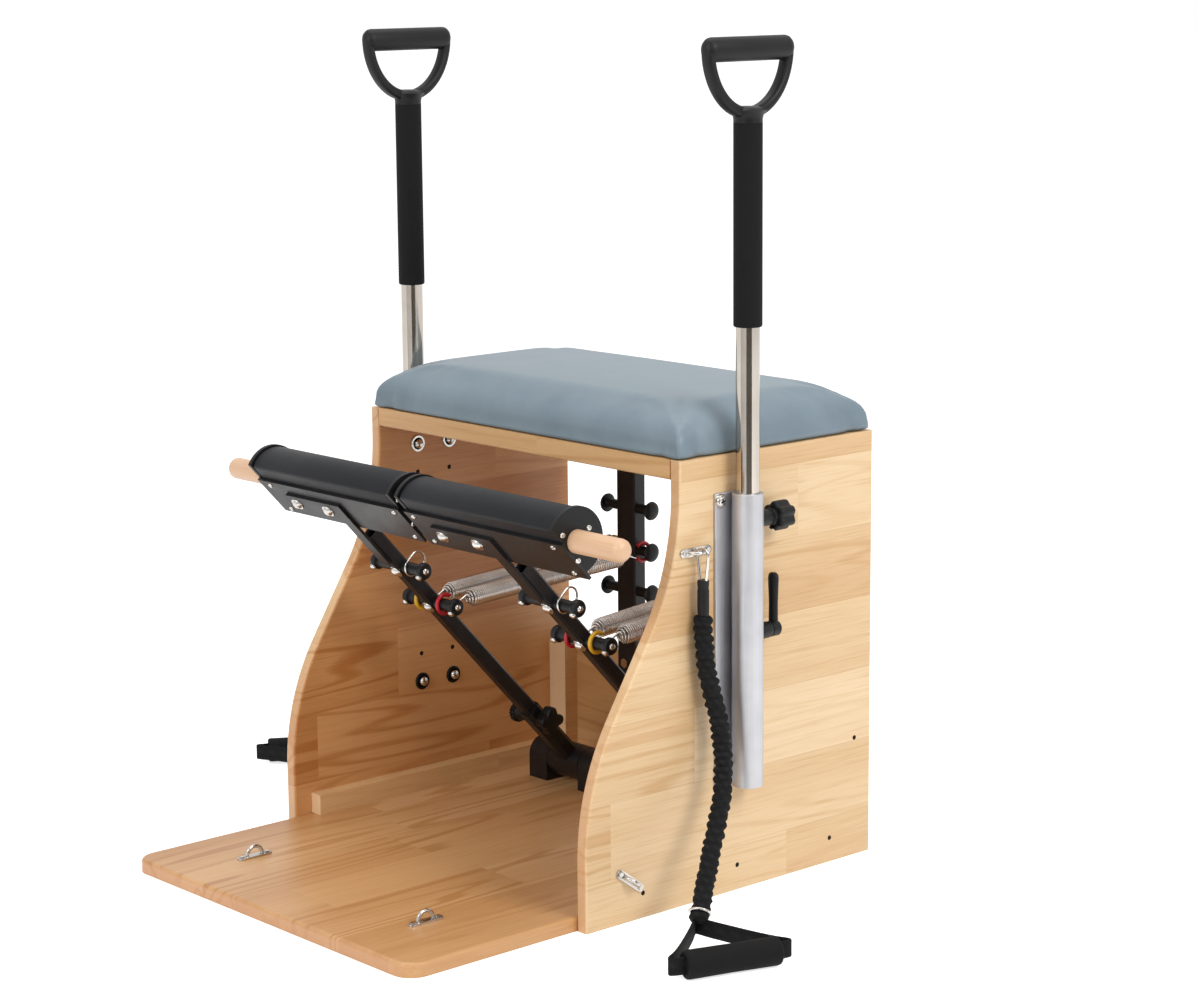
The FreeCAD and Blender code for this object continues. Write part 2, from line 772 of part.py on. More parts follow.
def spring(start, end, start_d, end_d):
    u, v, w = spring_frame(start, end)
    span = end.sub(start).Length
    coil_r = (spring_d - spring_wire) / 2
    slack = spring_loop_r - spring_wire / 2 - soft_gap
    near = slack - start_d / 2
    far = span - (slack - end_d / 2)
    coil_start = near + spring_loop_r + spring_neck
    coil_end = far - spring_loop_r - spring_neck
    pitch = (coil_end - coil_start) / spring_turns

    def at(a, b, c):
        return start.add(V(u).multiply(a)).add(V(v).multiply(b)).add(V(w).multiply(c))

    def way(a, b, c):
        return V(u).multiply(a).add(V(v).multiply(b)).add(V(w).multiply(c)).normalize()

    stations = []
    for turn in (60, 150, 240, 315):
        q = math.radians(turn)
        stations.append((at(near + spring_loop_r * math.cos(q), 0, spring_loop_r * math.sin(q)),
                         way(-math.sin(q), 0, math.cos(q))))
    for i in range(2 * spring_turns + 1):
        q = math.radians(90 + 180 * i)
        rise = pitch / (2 * math.pi * coil_r)
        stations.append((at(coil_start + pitch * i / 2, coil_r * math.cos(q), coil_r * math.sin(q)),
                         way(rise, -math.sin(q), math.cos(q))))
    for turn in (315, 240, 150, 60):
        q = math.radians(turn)
        stations.append((at(far - spring_loop_r * math.cos(q), 0, spring_loop_r * math.sin(q)),
                         way(-math.sin(q), 0, -math.cos(q))))
    edges = []
    for (p0, t0), (p1, t1) in zip(stations, stations[1:]):
        edges += biarc(p0, t0, p1, t1)
    path = Part.Wire(edges)
    section = wire_section(spring_wire, stations[0][0], stations[0][1], wire_sides)
    return path.makePipeShell([section], True, False), path


def self_gap(path, wire):
    points = path.discretize(Number=900)
    step = path.Length / (len(points) - 1)
    skip = int(2.5 * wire / step) + 2
    best = 1e9
    for i in range(len(points)):
        for j in range(i + skip, len(points)):
            best = min(best, points[i].distanceToPoint(points[j]))
    return best - wire


def spring_line(side, part):
    start = pedal_point(side * arm_spread + part * spring_side, peg_low_at, 0)
    lane = column_w / 2 + column_peg_reach / 2
    end = V(column_x(side) + part * lane, peg_y, peg_levels()[1])
    return start, end


# Everything on each pedal
for side, name in ((-1, "left"), (1, "right")):
    x = side * arm_spread
    keep(name + "_hub", on_pedal(hub(side)))
    keep(name + "_arm", on_pedal(arm(side)))
    keep(name + "_pad_plate", on_pedal(pad_plate(side)))
    keep(name + "_pad_cushion", on_pedal(pad_cushion(side)))
    keep(name + "_pad_ends", [on_pedal(p) for p in pad_end_plates(side)])
    keep(name + "_dowel", on_pedal(dowel(side)))
    keep(name + "_spring_pegs", [on_pedal(spring_peg(x, s)) for s in (peg_low_at, peg_high_at)])
    keep(name + "_pedal_fasteners", [on_pedal(p) for p in pedal_fasteners(side) + [keeper_link(side)]])
    keep(name + "_clamp_knob", on_pedal(clamp_knob(side)))
    keep(name + "_clamp_nut", on_pedal(clamp_nut(side)))
    for lane, part in (("inner", -side), ("outer", side)):
        start, end = spring_line(side, part)
        coil, path = spring(start, end, peg_d, column_peg_d)
        keep(name + "_spring_" + lane, coil)
        print(name, lane, "spring span %.1f" % end.sub(start).Length, "self gap %.2f" % self_gap(path, spring_wire))


# Post holders: an extruded tube on a bolted flange
def post_holder():
    half = holder_flange_w / 2
    body = box(half_out, half_out + holder_flange_t, post_y - half, post_y + half, holder_bottom, holder_top)
    flange_face = half_out + holder_flange_t
    body = chamfered(body, holder_flange_t / 2, lambda e: along(e, Z_AXIS) and level(e, X_AXIS, flange_face))
    rise = holder_top - holder_bottom
    root = V(post_x, post_y, holder_bottom)
    body = body.fuse(rod(holder_d, root, Z_AXIS, rise))
    web = 0.35 * holder_d
    body = body.fuse(box(half_out, post_x, post_y - web, post_y + web, holder_bottom, holder_top)).removeSplitter()
    body = body.cut(rod(post_d + 2 * post_gap, root, Z_AXIS, rise))
    for dy in (-holder_bolt_pitch / 2, holder_bolt_pitch / 2):
        for z in (holder_bolt_low, holder_bolt_high):
            body = body.cut(bolt_hole(holder_bolt_d, V(half_out, post_y + dy, z), X_AXIS, holder_flange_t))
    for z in (post_knob_z, post_lever_z):
        body = body.cut(rod(clamp_stud_d + hole_gap, V(post_x, post_y, z), Y_AXIS, holder_d))
    return body


def holder_bolt(dy, z):
    face = half_out + holder_flange_t
    length = holder_flange_t + panel_t
    return hex_bolt(holder_bolt_d, V(face, post_y + dy, z), X_AXIS, 0.55 * holder_bolt_d, length)


def holder_nut(dy, z):
    spot = V(half_in, post_y + dy, z)
    washer = prism(3 * holder_bolt_d, 12, spot, V(-1, 0, 0), holder_washer_t)
    return washer.fuse(hex_head(1.6 * holder_bolt_d, holder_nut_h, spot, V(-1, 0, 0)))


def clamp_boss(z):
    start = holder_d / 2 - clamp_boss_root
    body = prism(clamp_boss_d, 12, V(post_x, post_y + start, z), Y_AXIS, clamp_boss_len + clamp_boss_root)
    body = body.cut(rod(holder_d, V(post_x, post_y, z - clamp_boss_d), Z_AXIS, 2 * clamp_boss_d))
    return body.cut(rod(clamp_stud_d + hole_gap, V(post_x, post_y, z), Y_AXIS, holder_d * 2))


boss_end = holder_d / 2 + clamp_boss_len
stud_tip = post_d / 2 + soft_gap


def clamp_stud(z):
    return rod(clamp_stud_d, V(post_x, post_y + stud_tip, z), Y_AXIS, boss_end + turn_gap - stud_tip)


def post_knob():
    face = post_y + boss_end + turn_gap
    body = rod(knob_neck_d, V(post_x, face, post_knob_z), Y_AXIS, knob_neck)
    grip = star(post_knob_d / 2, post_knob_lobes, post_knob_w - knob_neck, V(post_x, face + knob_neck, post_knob_z), Y_AXIS)
    return body.fuse(grip).fuse(clamp_stud(post_knob_z))


def post_lever():
    face = post_y + boss_end + turn_gap
    body = rod(lever_hub_d, V(post_x, face, post_lever_z), Y_AXIS, lever_hub_len)
    back = face + (lever_hub_len - lever_t) / 2
    corner = lever_tip_w / 4
    half = [(lever_foot_w / 2, 0), (lever_tip_w / 2, lever_len - corner), (lever_tip_w / 2 - corner, lever_len)]
    ring = [V(post_x + w, back, post_lever_z + z) for w, z in half]
    ring += [V(post_x - w, back, post_lever_z + z) for w, z in reversed(half)]
    grip = Part.Face(Part.makePolygon(ring + ring[:1])).extrude(V(0, lever_t, 0))
    return body.fuse(grip).fuse(clamp_stud(post_lever_z))


bolt_spots = [(dy, z) for dy in (-holder_bolt_pitch / 2, holder_bolt_pitch / 2)
              for z in (holder_bolt_low, holder_bolt_high)]
keep("post_holder_right", post_holder())
keep("post_holder_left", mirrored(post_holder()))
frame_bolts = [hinge_bolt(s, e) for s in sides for e in sides]
frame_bolts += [column_bolt(p) for s in sides for p in tab_bolt_spots(s)]
frame_bolts += [p for spot in bolt_spots for p in pair(holder_bolt(*spot))]
keep("frame_bolts", frame_bolts)
keep("holder_nuts", [p for spot in bolt_spots for p in pair(holder_nut(*spot))])
keep("clamp_bosses", [p for z in (post_knob_z, post_lever_z) for p in pair(clamp_boss(z))])


# Hand posts with a foam sleeve and a D handle
def hand_post():
    length = post_top - post_bottom
    body = rod(post_d, V(post_x, post_y, post_bottom), Z_AXIS, length)
    return body.cut(rod(post_d - 2 * post_wall, V(post_x, post_y, post_bottom), Z_AXIS, length))


def grip_sleeve():
    body = rod(grip_d, V(post_x, post_y, grip_bottom), Z_AXIS, grip_top - grip_bottom)
    body = chamfered(body, grip_end, lambda e: level(e, Z_AXIS, grip_bottom))
    return body.cut(rod(post_d + 2 * grip_gap, V(post_x, post_y, grip_bottom), Z_AXIS, grip_top - grip_bottom))


def d_plate(half_w, foot):
    left = V(post_x - handle_web_t / 2, post_y - half_w, handle_bar_z)
    right = V(post_x - handle_web_t / 2, post_y + half_w, handle_bar_z)
    bottom = V(post_x - handle_web_t / 2, post_y, foot)
    return Part.Face(Part.Wire([Part.makeLine(left, right), Part.Arc(right, bottom, left).toShape()]))


def d_handle():
    socket_top = grip_top + handle_socket_h
    inner_foot = socket_top + handle_web_floor
    outer = d_plate(handle_w / 2, inner_foot - handle_rim)
    inner = d_plate(handle_w / 2 - handle_rim, inner_foot)
    shell = outer.cut(inner).extrude(V(handle_web_t, 0, 0))
    bar = rod(handle_bar_d, V(post_x, post_y - handle_w / 2, handle_bar_z), Y_AXIS, handle_w)
    bar = chamfered(bar, handle_corner, round_edge)
    neck = rod(grip_d, V(post_x, post_y, grip_top), Z_AXIS, handle_socket_h)
    body = shell.fuse(bar).fuse(neck)
    socket = rod(post_d + 2 * grip_gap, V(post_x, post_y, grip_top), Z_AXIS, post_top - grip_top + grip_gap)
    return body.cut(socket)


for side, name in ((-1, "left"), (1, "right")):
    keep(name + "_post", sided(hand_post(), side))
    keep(name + "_grip_sleeve", sided(grip_sleeve(), side))
    keep(name + "_handle", sided(d_handle(), side))
    keep(name + "_post_knob", sided(post_knob(), side))
    keep(name + "_post_lever", sided(post_lever(), side))


# Pad eyes: an oval plate with a wire arch, drawn flat with its length along X
def pad_eye():
    plate = box(-eye_len / 2, eye_len / 2, -eye_w / 2, eye_w / 2, 0, eye_t)
    plate = chamfered(plate, eye_corner, lambda e: along(e, Z_AXIS))
    ring = Part.Face(wire_section(eye_wire_d, V(eye_r, 0, eye_t), Z_AXIS, wire_sides))
    return plate.fuse(ring.revolve(V(0, 0, eye_t), V(0, -1, 0), 180))


def eye_screws():
    reach = eye_len / 2 - 0.5 * eye_w
    return [prism(screw_head_d, 6, V(end * reach, 0, eye_t), Z_AXIS, screw_head_t) for end in (-1, 1)]


def on_panel(shape, y, z, tilt):
    turn = FreeCAD.Rotation(Y_AXIS, Z_AXIS, X_AXIS, "ZXY").multiply(FreeCAD.Rotation(Z_AXIS, tilt))
    placed = shape.copy()
    placed.Placement = FreeCAD.Placement(V(half_out, y, z), turn).multiply(placed.Placement)
    return placed


def on_base(shape, x, y):
    placed = shape.copy()
    placed.Placement = FreeCAD.Placement(V(x, y, base_t), FreeCAD.Rotation(Z_AXIS, 90)).multiply(placed.Placement)
    return placed


eye_y = rear_y - eye_setback
low_eye_y = rear_y - eye_low_setback
base_eye_y = front_y + base_eye_gap
panel_spots = ((eye_y, eye_high_z, 0), (low_eye_y, eye_low_z, -eye_low_tilt))
eyes = [p for spot in panel_spots for p in pair(on_panel(pad_eye(), *spot))]
keep("pad_eyes", eyes + [on_base(pad_eye(), s * base_eye_spread, base_eye_y) for s in sides])
screws = [p for spot in panel_spots for s in eye_screws() for p in pair(on_panel(s, *spot))]
screws += [on_base(s, e * base_eye_spread, base_eye_y) for e in sides for s in eye_screws()]
keep("eye_screws", screws)


# Side cords: wire link, ferrule, gathered sleeve, webbing and a foam grip on the floor
def stadium(centre_top, length, radius, wire_d):
    low = centre_top.sub(V(0, 0, length))
    edges = []
    for centre, turn in ((centre_top, 1), (low, -1)):
        a = centre.add(V(radius, 0, 0))
        b = centre.sub(V(radius, 0, 0))
        edges.append(Part.Arc(a, centre.add(V(0, 0, turn * radius)), b).toShape())
    edges += [Part.makeLine(centre_top.add(V(d, 0, 0)), low.add(V(d, 0, 0))) for d in (radius, -radius)]
    path = Part.Wire(Part.__sortEdges__(edges))
    ring = wire_section(wire_d, centre_top.add(V(radius, 0, 0)), Z_AXIS, wire_sides)
    return path.makePipeShell([ring], True, False)


def rounded_route(points, fixed=None):
    edges = []
    radii = []
    last = points[0]
    for a, b, c in zip(points, points[1:], points[2:]):
        into = b.sub(a)
        out = c.sub(b)
        turn = into.getAngle(out)
        run = min(into.Length, out.Length)
        longest = 0.45 * run
        cut = longest if fixed is None else min(longest, fixed * math.tan(turn / 2))
        radii.append(cut / math.tan(turn / 2))
        p = b.sub(V(into).normalize().multiply(cut))
        q = b.add(V(out).normalize().multiply(cut))
        bisect = V(out).normalize().sub(V(into).normalize()).normalize()
        centre = b.add(V(bisect).multiply(radii[-1] / math.cos(turn / 2)))
        middle = centre.sub(V(bisect).multiply(radii[-1]))
        edges.append(Part.makeLine(last, p))
        edges.append(Part.Arc(p, middle, q).toShape())
        last = q
    edges.append(Part.makeLine(last, points[-1]))
    return Part.Wire(edges), radii


def tube_on(points, d):
    path, radii = rounded_route(points)
    first = points[1].sub(points[0]).normalize()
    body = path.makePipeShell([wire_section(d, points[0], first, cord_sides)], True, False)
    section = cord_sides * 0.5 * (d / 2) ** 2 * math.sin(2 * math.pi / cord_sides)
    print("cord length %.0f" % path.Length, "radii", ["%.0f" % r for r in radii],
          "volume ratio %.4f" % (body.Volume / (section * path.Length)))
    return body


def band_on(points, radius, thickness, height):
    path, radii = rounded_route(points, radius)
    low = points[0]
    half = points[1].sub(low).cross(Z_AXIS).normalize().multiply(thickness / 2)
    up = V(0, 0, height)
    corners = [low.add(half), low.sub(half), low.sub(half).add(up), low.add(half).add(up), low.add(half)]
    return path.makePipeShell([Part.makePolygon(corners)], True, False)


def floor_grip(a, b):
    body = rod(cord_grip_d, a, b.sub(a), b.sub(a).Length)
    return chamfered(body, cord_grip_d / 10, round_edge)


hook_x = half_out + eye_t + eye_r
hook_top = eye_high_z + (eye_wire_d + hook_wire_d) / 2 * math.cos(math.pi / wire_sides) + soft_gap - hook_r
hook_low = hook_top - hook_len
ferrule_hole_z = hook_low - hook_r
ferrule_top = ferrule_hole_z + hook_wire_d / 2 + 3.0
ferrule_low = ferrule_top - ferrule_len


def ferrule():
    body = prism(ferrule_d, 12, V(hook_x, eye_y, ferrule_low), Z_AXIS, ferrule_len)
    half = hook_wire_d / 2 + soft_gap
    return body.cut(box(hook_x - ferrule_d, hook_x + ferrule_d, eye_y - half, eye_y + half, ferrule_hole_z - half, ferrule_top))


cord_top = V(hook_x, eye_y, ferrule_low)
right_route = [cord_top, V(cord_top.x, cord_top.y, 312), V(336, 82, 236), V(356, 70, 160), V(389, 14, 94),
               V(421, -38, 25)]
left_route = [V(-cord_top.x, cord_top.y, cord_top.z), V(-cord_top.x, cord_top.y, 312), V(-343, 72, 236),
              V(-380, 84, 165), V(-424, 90, 98), V(-468, 93, 25)]
right_grip = (V(507, -142, cord_grip_d / 2), V(545, -26, cord_grip_d / 2))
left_grip = (V(-597, 51, cord_grip_d / 2), V(-535, 157, cord_grip_d / 2))


def strap_route(tip, grip, out):
    a, b = grip
    way = b.sub(a).normalize()
    near = a.sub(V(way).multiply(out))
    far = b.add(V(way).multiply(out))
    back = V(tip.x, tip.y, a.z).sub(a.add(b).multiply(0.5)).normalize()
    fold = V(tip.x, tip.y, a.z).add(back.multiply(strap_tuck))
    return [V(p.x, p.y, strap_lift) for p in (a, near, fold, far, b)]


keep("right_cord", tube_on(right_route, cord_d))
keep("left_cord", tube_on(left_route, cord_d))
link = stadium(V(hook_x, eye_y, hook_top), hook_len, hook_r, hook_wire_d)
keep("cord_links", pair(link))
keep("cord_ferrules", pair(ferrule()))
straps = []
for route, grip in ((right_route, right_grip), (left_route, left_grip)):
    straps.append(band_on(strap_route(route[-1], grip, strap_out), strap_bend_r, strap_t, strap_w))
keep("cord_straps", straps)
keep("cord_grips", [floor_grip(*right_grip), floor_grip(*left_grip)])

for name, shape in nodes.items():
    shape.exportStep("parts/%s.step" % name)
print(len(nodes), "nodes")
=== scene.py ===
"""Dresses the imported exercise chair: finishes, soft pieces, springs, cords, fine fittings and the studio."""

import logging
import math
from dataclasses import dataclass, field
from enum import Enum
from typing import Any, Callable, Dict, List, Optional, Sequence, Tuple

import bmesh
import bpy
from mathutils import Matrix, Vector


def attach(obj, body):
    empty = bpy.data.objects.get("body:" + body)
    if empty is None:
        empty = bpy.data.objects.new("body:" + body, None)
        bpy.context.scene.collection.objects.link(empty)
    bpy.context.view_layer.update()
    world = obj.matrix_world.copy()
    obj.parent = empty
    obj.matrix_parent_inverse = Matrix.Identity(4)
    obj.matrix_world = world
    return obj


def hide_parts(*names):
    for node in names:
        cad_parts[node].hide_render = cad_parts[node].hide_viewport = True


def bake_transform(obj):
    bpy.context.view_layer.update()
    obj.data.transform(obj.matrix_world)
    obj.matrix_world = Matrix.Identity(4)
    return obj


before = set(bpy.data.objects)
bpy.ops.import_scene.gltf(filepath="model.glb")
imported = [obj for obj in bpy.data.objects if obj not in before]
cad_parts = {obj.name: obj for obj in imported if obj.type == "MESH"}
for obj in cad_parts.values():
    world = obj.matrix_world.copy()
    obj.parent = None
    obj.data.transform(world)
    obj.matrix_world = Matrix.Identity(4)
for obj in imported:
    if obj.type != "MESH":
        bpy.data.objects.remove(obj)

LOG = logging.getLogger("chair")
MM = 0.001
SIDES: Tuple[Tuple[str, int], ...] = (("left", -1), ("right", 1))
RGBA = Tuple[float, float, float, float]


class Axis(Enum):
    """The direction that a pattern runs in."""

    X = 0
    Y = 1
    Z = 2


def srgb(code: str) -> RGBA:
    """Turn an sRGB hex value into linear colour.

    Args:
        code: Six hex digits, with or without a leading hash.

    Returns:
        Linear red, green, blue and an alpha of one.
    """
    digits = code.lstrip("#")
    parts = [int(digits[i:i + 2], 16) / 255 for i in (0, 2, 4)]
    linear = [c / 12.92 if c <= 0.04045 else ((c + 0.055) / 1.055) ** 2.4 for c in parts]
    return (linear[0], linear[1], linear[2], 1.0)


def add_node(tree: bpy.types.NodeTree, kind: str, inputs: Optional[Dict[Any, Any]] = None,
             stops: Sequence[Tuple[float, RGBA]] = (), **settings: Any) -> bpy.types.Node:
    """Add one shader node, set its options and fill or link its inputs.

    Args:
        tree: The node tree to add to.
        kind: The node's type without its ShaderNode prefix.
        inputs: Socket name or number to a constant or to an output socket.
        stops: Positions from 0 to 1 with their colours, where the node has a ramp.
        settings: Options of the node itself.

    Returns:
        The new node.
    """
    made = tree.nodes.new("ShaderNode" + kind)
    for key, value in settings.items():
        setattr(made, key, value)
    for _ in stops[2:]:
        made.color_ramp.elements.new(0.5)
    for number, (at, tone) in enumerate(stops):
        made.color_ramp.elements[number].position = at
        made.color_ramp.elements[number].color = tone
    for key, value in (inputs or {}).items():
        if isinstance(value, bpy.types.NodeSocket):
            tree.links.new(value, made.inputs[key])
        else:
            made.inputs[key].default_value = value
    return made


def new_material(name: str) -> Tuple[bpy.types.Material, bpy.types.NodeTree, bpy.types.Node]:
    """Start a material.

    Args:
        name: The material's name.

    Returns:
        The material, its node tree and its shader node.
    """
    made = bpy.data.materials.new(name)
    made.use_nodes = True
    return made, made.node_tree, made.node_tree.nodes["Principled BSDF"]


def grey(level: float) -> RGBA:
    """A grey of that linear level."""
    return (level, level, level, 1.0)


@dataclass(frozen=True)
class LacqueredRubberwood:
    """Edge-glued rubberwood staves under clear satin lacquer: honey tone, soft arches, fine fibres, pinker end grain,
    and painted shade on faces that look in towards the chair's middle.
    """

    name: str
    along: Axis
    across: Axis
    pale: str = "F0D5AE"
    middle: str = "E5C497"
    deep: str = "CFA26E"
    end_tone: str = "CE9668"
    stave_mm: float = 96.0
    piece_mm: float = 540.0
    arch_mm: float = 62.0
    fibre_mm: float = 2.4
    arches: float = 0.2
    tint: float = 0.34
    inward_painted_shade: str = "FFFFFF"

    def build(self) -> bpy.types.Material:
        """Make the wood material.

        Returns:
            The material.
        """
        made, tree, shader = new_material(self.name)
        place = add_node(tree, "TexCoord").outputs["Object"]
        split = add_node(tree, "SeparateXYZ", {0: place})
        run = split.outputs[self.along.value]
        over = split.outputs[self.across.value]
        through = split.outputs[3 - self.along.value - self.across.value]
        stave = add_node(tree, "Math", {0: over, 1: 1000 / self.stave_mm, 2: 0.37}, operation="MULTIPLY_ADD").outputs[0]
        index = add_node(tree, "Math", {0: stave}, operation="FLOOR").outputs[0]
        shift = add_node(tree, "TexWhiteNoise", {"W": index}, noise_dimensions="1D").outputs["Value"]
        length = add_node(tree, "Math", {0: run, 1: 1000 / self.piece_mm, 2: shift}, operation="MULTIPLY_ADD").outputs[0]
        piece = add_node(tree, "Math", {0: length}, operation="FLOOR").outputs[0]
        pair = add_node(tree, "CombineXYZ", {0: index, 1: piece}).outputs[0]
        tint = add_node(tree, "TexWhiteNoise", {"Vector": pair}, noise_dimensions="3D")
        jump = add_node(tree, "VectorMath", {0: tint.outputs["Color"], 1: (4.0, 4.0, 4.0)}, operation="MULTIPLY").outputs[0]
        laid = add_node(tree, "CombineXYZ", {0: run, 1: over, 2: through}).outputs[0]
        moved = add_node(tree, "VectorMath", {0: laid, 1: jump}, operation="ADD").outputs[0]
        drawn = add_node(tree, "Mapping", {"Vector": moved, "Scale": (0.09, 1.0, 0.5)}).outputs[0]
        swell = add_node(tree, "TexNoise", {"Vector": drawn, "Scale": 1000 / self.arch_mm, "Detail": 1.5, "Roughness": 0.4}).outputs["Fac"]
        phase = add_node(tree, "Math", {0: swell, 1: 52.0}, operation="MULTIPLY").outputs[0]
        rings = add_node(tree, "Math", {0: phase}, operation="SINE").outputs[0]
        arch = add_node(tree, "MapRange", {"Value": rings, "From Min": 0.25, "From Max": 1.0}).outputs[0]
        spread = add_node(tree, "TexNoise", {"Vector": drawn, "Scale": 9.0, "Detail": 1.0}).outputs["Fac"]
        shown = add_node(tree, "MapRange", {"Value": spread, "From Min": 0.38, "From Max": 0.62}).outputs[0]
        arch = add_node(tree, "Math", {0: arch, 1: shown}, operation="MULTIPLY").outputs[0]
        thread = add_node(tree, "Mapping", {"Vector": moved, "Scale": (0.03, 1.0, 1.0)}).outputs[0]
        fibres = add_node(tree, "TexNoise", {"Vector": thread, "Scale": 1000 / self.fibre_mm, "Detail": 4.0, "Roughness": 0.6}).outputs["Fac"]
        pits = add_node(tree, "MapRange", {"Value": fibres, "From Min": 0.34, "From Max": 0.44}).outputs[0]
        tone = add_node(tree, "Math", {0: tint.outputs["Value"], 1: self.tint, 2: -0.5 * self.tint}, operation="MULTIPLY_ADD").outputs[0]
        tone = add_node(tree, "Math", {0: arch, 1: -self.arches, 2: tone}, operation="MULTIPLY_ADD").outputs[0]
        tone = add_node(tree, "Math", {0: fibres, 1: 0.34, 2: tone}, operation="MULTIPLY_ADD").outputs[0]
        tone = add_node(tree, "Math", {0: spread, 1: 0.56, 2: tone}, operation="MULTIPLY_ADD").outputs[0]
        colour = add_node(tree, "ValToRGB", {"Fac": tone}, [(0.12, srgb(self.deep)), (0.45, srgb(self.middle)), (0.72, srgb(self.pale))]).outputs["Color"]
        fine = add_node(tree, "MapRange", {"Value": pits, "To Min": 0.13, "To Max": 0.0}).outputs[0]
        colour = add_node(tree, "Mix", {0: fine, 6: colour, 7: srgb("B98550")}, data_type="RGBA").outputs[2]
        normal = add_node(tree, "SeparateXYZ", {0: add_node(tree, "NewGeometry").outputs["Normal"]})
        # Painted shade: faces that look in towards the chair's middle get a darker, warmer colour multiplied in,
        # standing in for the shade inside the chair.
        inwards = add_node(tree, "Math", {0: normal.outputs[0], 1: split.outputs[0]}, operation="MULTIPLY").outputs[0]
        inward_shade_mask = add_node(tree, "MapRange", {"Value": inwards, "From Min": -0.05, "From Max": -0.2}).outputs[0]
        colour = add_node(tree, "Mix", {0: inward_shade_mask, 6: colour, 7: srgb(self.inward_painted_shade)}, data_type="RGBA", blend_type="MULTIPLY").outputs[2]
        facing = add_node(tree, "Math", {0: normal.outputs[self.along.value]}, operation="ABSOLUTE").outputs[0]
        ended = add_node(tree, "MapRange", {"Value": facing, "From Min": 0.75, "From Max": 0.97, "To Max": 0.55}).outputs[0]
        colour = add_node(tree, "Mix", {0: ended, 6: colour, 7: srgb(self.end_tone)}, data_type="RGBA").outputs[2]
        edge = add_node(tree, "Math", {0: stave}, operation="FRACT").outputs[0]
        seam = add_node(tree, "Math", {0: edge, 1: 0.0, 2: 0.007}, operation="COMPARE").outputs[0]
        soft_seam = add_node(tree, "Math", {0: seam, 1: 0.28}, operation="MULTIPLY").outputs[0]
        colour = add_node(tree, "Mix", {0: soft_seam, 6: colour, 7: srgb("A9743F")}, data_type="RGBA").outputs[2]
        tree.links.new(colour, shader.inputs["Base Color"])
        rough = add_node(tree, "MapRange", {"Value": fibres, "From Min": 0.3, "From Max": 0.7, "To Min": 0.46, "To Max": 0.36}).outputs[0]
        tree.links.new(rough, shader.inputs["Roughness"])
        bump = add_node(tree, "Bump", {"Strength": 0.1, "Distance": 0.0003, "Height": pits}).outputs[0]
        tree.links.new(bump, shader.inputs["Normal"])
        shader.inputs["Coat Weight"].default_value = 0.15
        shader.inputs["Coat Roughness"].default_value = 0.3
        return made


@dataclass(frozen=True)
class GrainedVinyl:
    """Upholstery vinyl pressed with a fine leather grain over foam: soft sheen and a slightly cloudy tone."""

    name: str
    tone: str
    worn: str
    cell_mm: float = 1.6
    rough: float = 0.44
    gloss: float = 0.5

    def build(self) -> bpy.types.Material:
        """Make the vinyl material, its grain drawn a little coarse so that it shows.

        Returns:
            The material.
        """
        made, tree, shader = new_material(self.name)
        place = add_node(tree, "TexCoord").outputs["Object"]
        cells = add_node(tree, "TexVoronoi", {"Vector": place, "Scale": 1000 / self.cell_mm, "Randomness": 1.0}, feature="DISTANCE_TO_EDGE").outputs["Distance"]
        hills = add_node(tree, "MapRange", {"Value": cells, "From Min": 0.0, "From Max": 0.28}).outputs[0]
        clouds = add_node(tree, "TexNoise", {"Vector": place, "Scale": 11.0, "Detail": 3.0, "Roughness": 0.55}).outputs["Fac"]
        tone = add_node(tree, "ValToRGB", {"Fac": clouds}, [(0.3, srgb(self.tone)), (0.75, srgb(self.worn))]).outputs["Color"]
        # Painted shade: the colour is darkened down to 0.86 in the bottom of each grain groove.
        groove_shade = add_node(tree, "MapRange", {"Value": hills, "From Min": 0.0, "From Max": 0.5, "To Min": 0.86, "To Max": 1.0}).outputs[0]
        colour = add_node(tree, "Mix", {0: 1.0, 6: tone, 7: groove_shade}, data_type="RGBA", blend_type="MULTIPLY").outputs[2]
        tree.links.new(colour, shader.inputs["Base Color"])
        rough = add_node(tree, "MapRange", {"Value": clouds, "From Min": 0.3, "From Max": 0.7, "To Min": self.rough - 0.05, "To Max": self.rough + 0.06}).outputs[0]
        tree.links.new(rough, shader.inputs["Roughness"])
        bump = add_node(tree, "Bump", {"Strength": 0.16, "Distance": 0.0003, "Height": hills}).outputs[0]
        tree.links.new(bump, shader.inputs["Normal"])
        shader.inputs["Specular IOR Level"].default_value = self.gloss
        return made


@dataclass(frozen=True)
class CoatedBlack:
    """Black coat or moulding: powder coat on steel, ABS or foam, told apart by grit size, roughness and depth."""

    name: str
    tone: str
    dusty: str
    grit_mm: float
    rough: float
    strength: float = 0.1
    depth: float = 0.0002
    gloss: float = 0.3

    def build(self) -> bpy.types.Material:
        """Make the black finish.

        Returns:
            The material.
        """
        made, tree, shader = new_material(self.name)
        place = add_node(tree, "TexCoord").outputs["Object"]
        grit = add_node(tree, "TexNoise", {"Vector": place, "Scale": 1000 / self.grit_mm, "Detail": 3.0, "Roughness": 0.6}).outputs["Fac"]
        wear = add_node(tree, "TexNoise", {"Vector": place, "Scale": 22.0, "Detail": 4.0, "Roughness": 0.6}).outputs["Fac"]
        tone = add_node(tree, "ValToRGB", {"Fac": wear}, [(0.35, srgb(self.tone)), (0.75, srgb(self.dusty))]).outputs["Color"]
        tree.links.new(tone, shader.inputs["Base Color"])
        rough = add_node(tree, "MapRange", {"Value": wear, "From Min": 0.3, "From Max": 0.7, "To Min": self.rough - 0.06, "To Max": self.rough + 0.06}).outputs[0]
        tree.links.new(rough, shader.inputs["Roughness"])
        bump = add_node(tree, "Bump", {"Strength": self.strength, "Distance": self.depth, "Height": grit}).outputs[0]
        tree.links.new(bump, shader.inputs["Normal"])
        shader.inputs["Specular IOR Level"].default_value = self.gloss
        return made


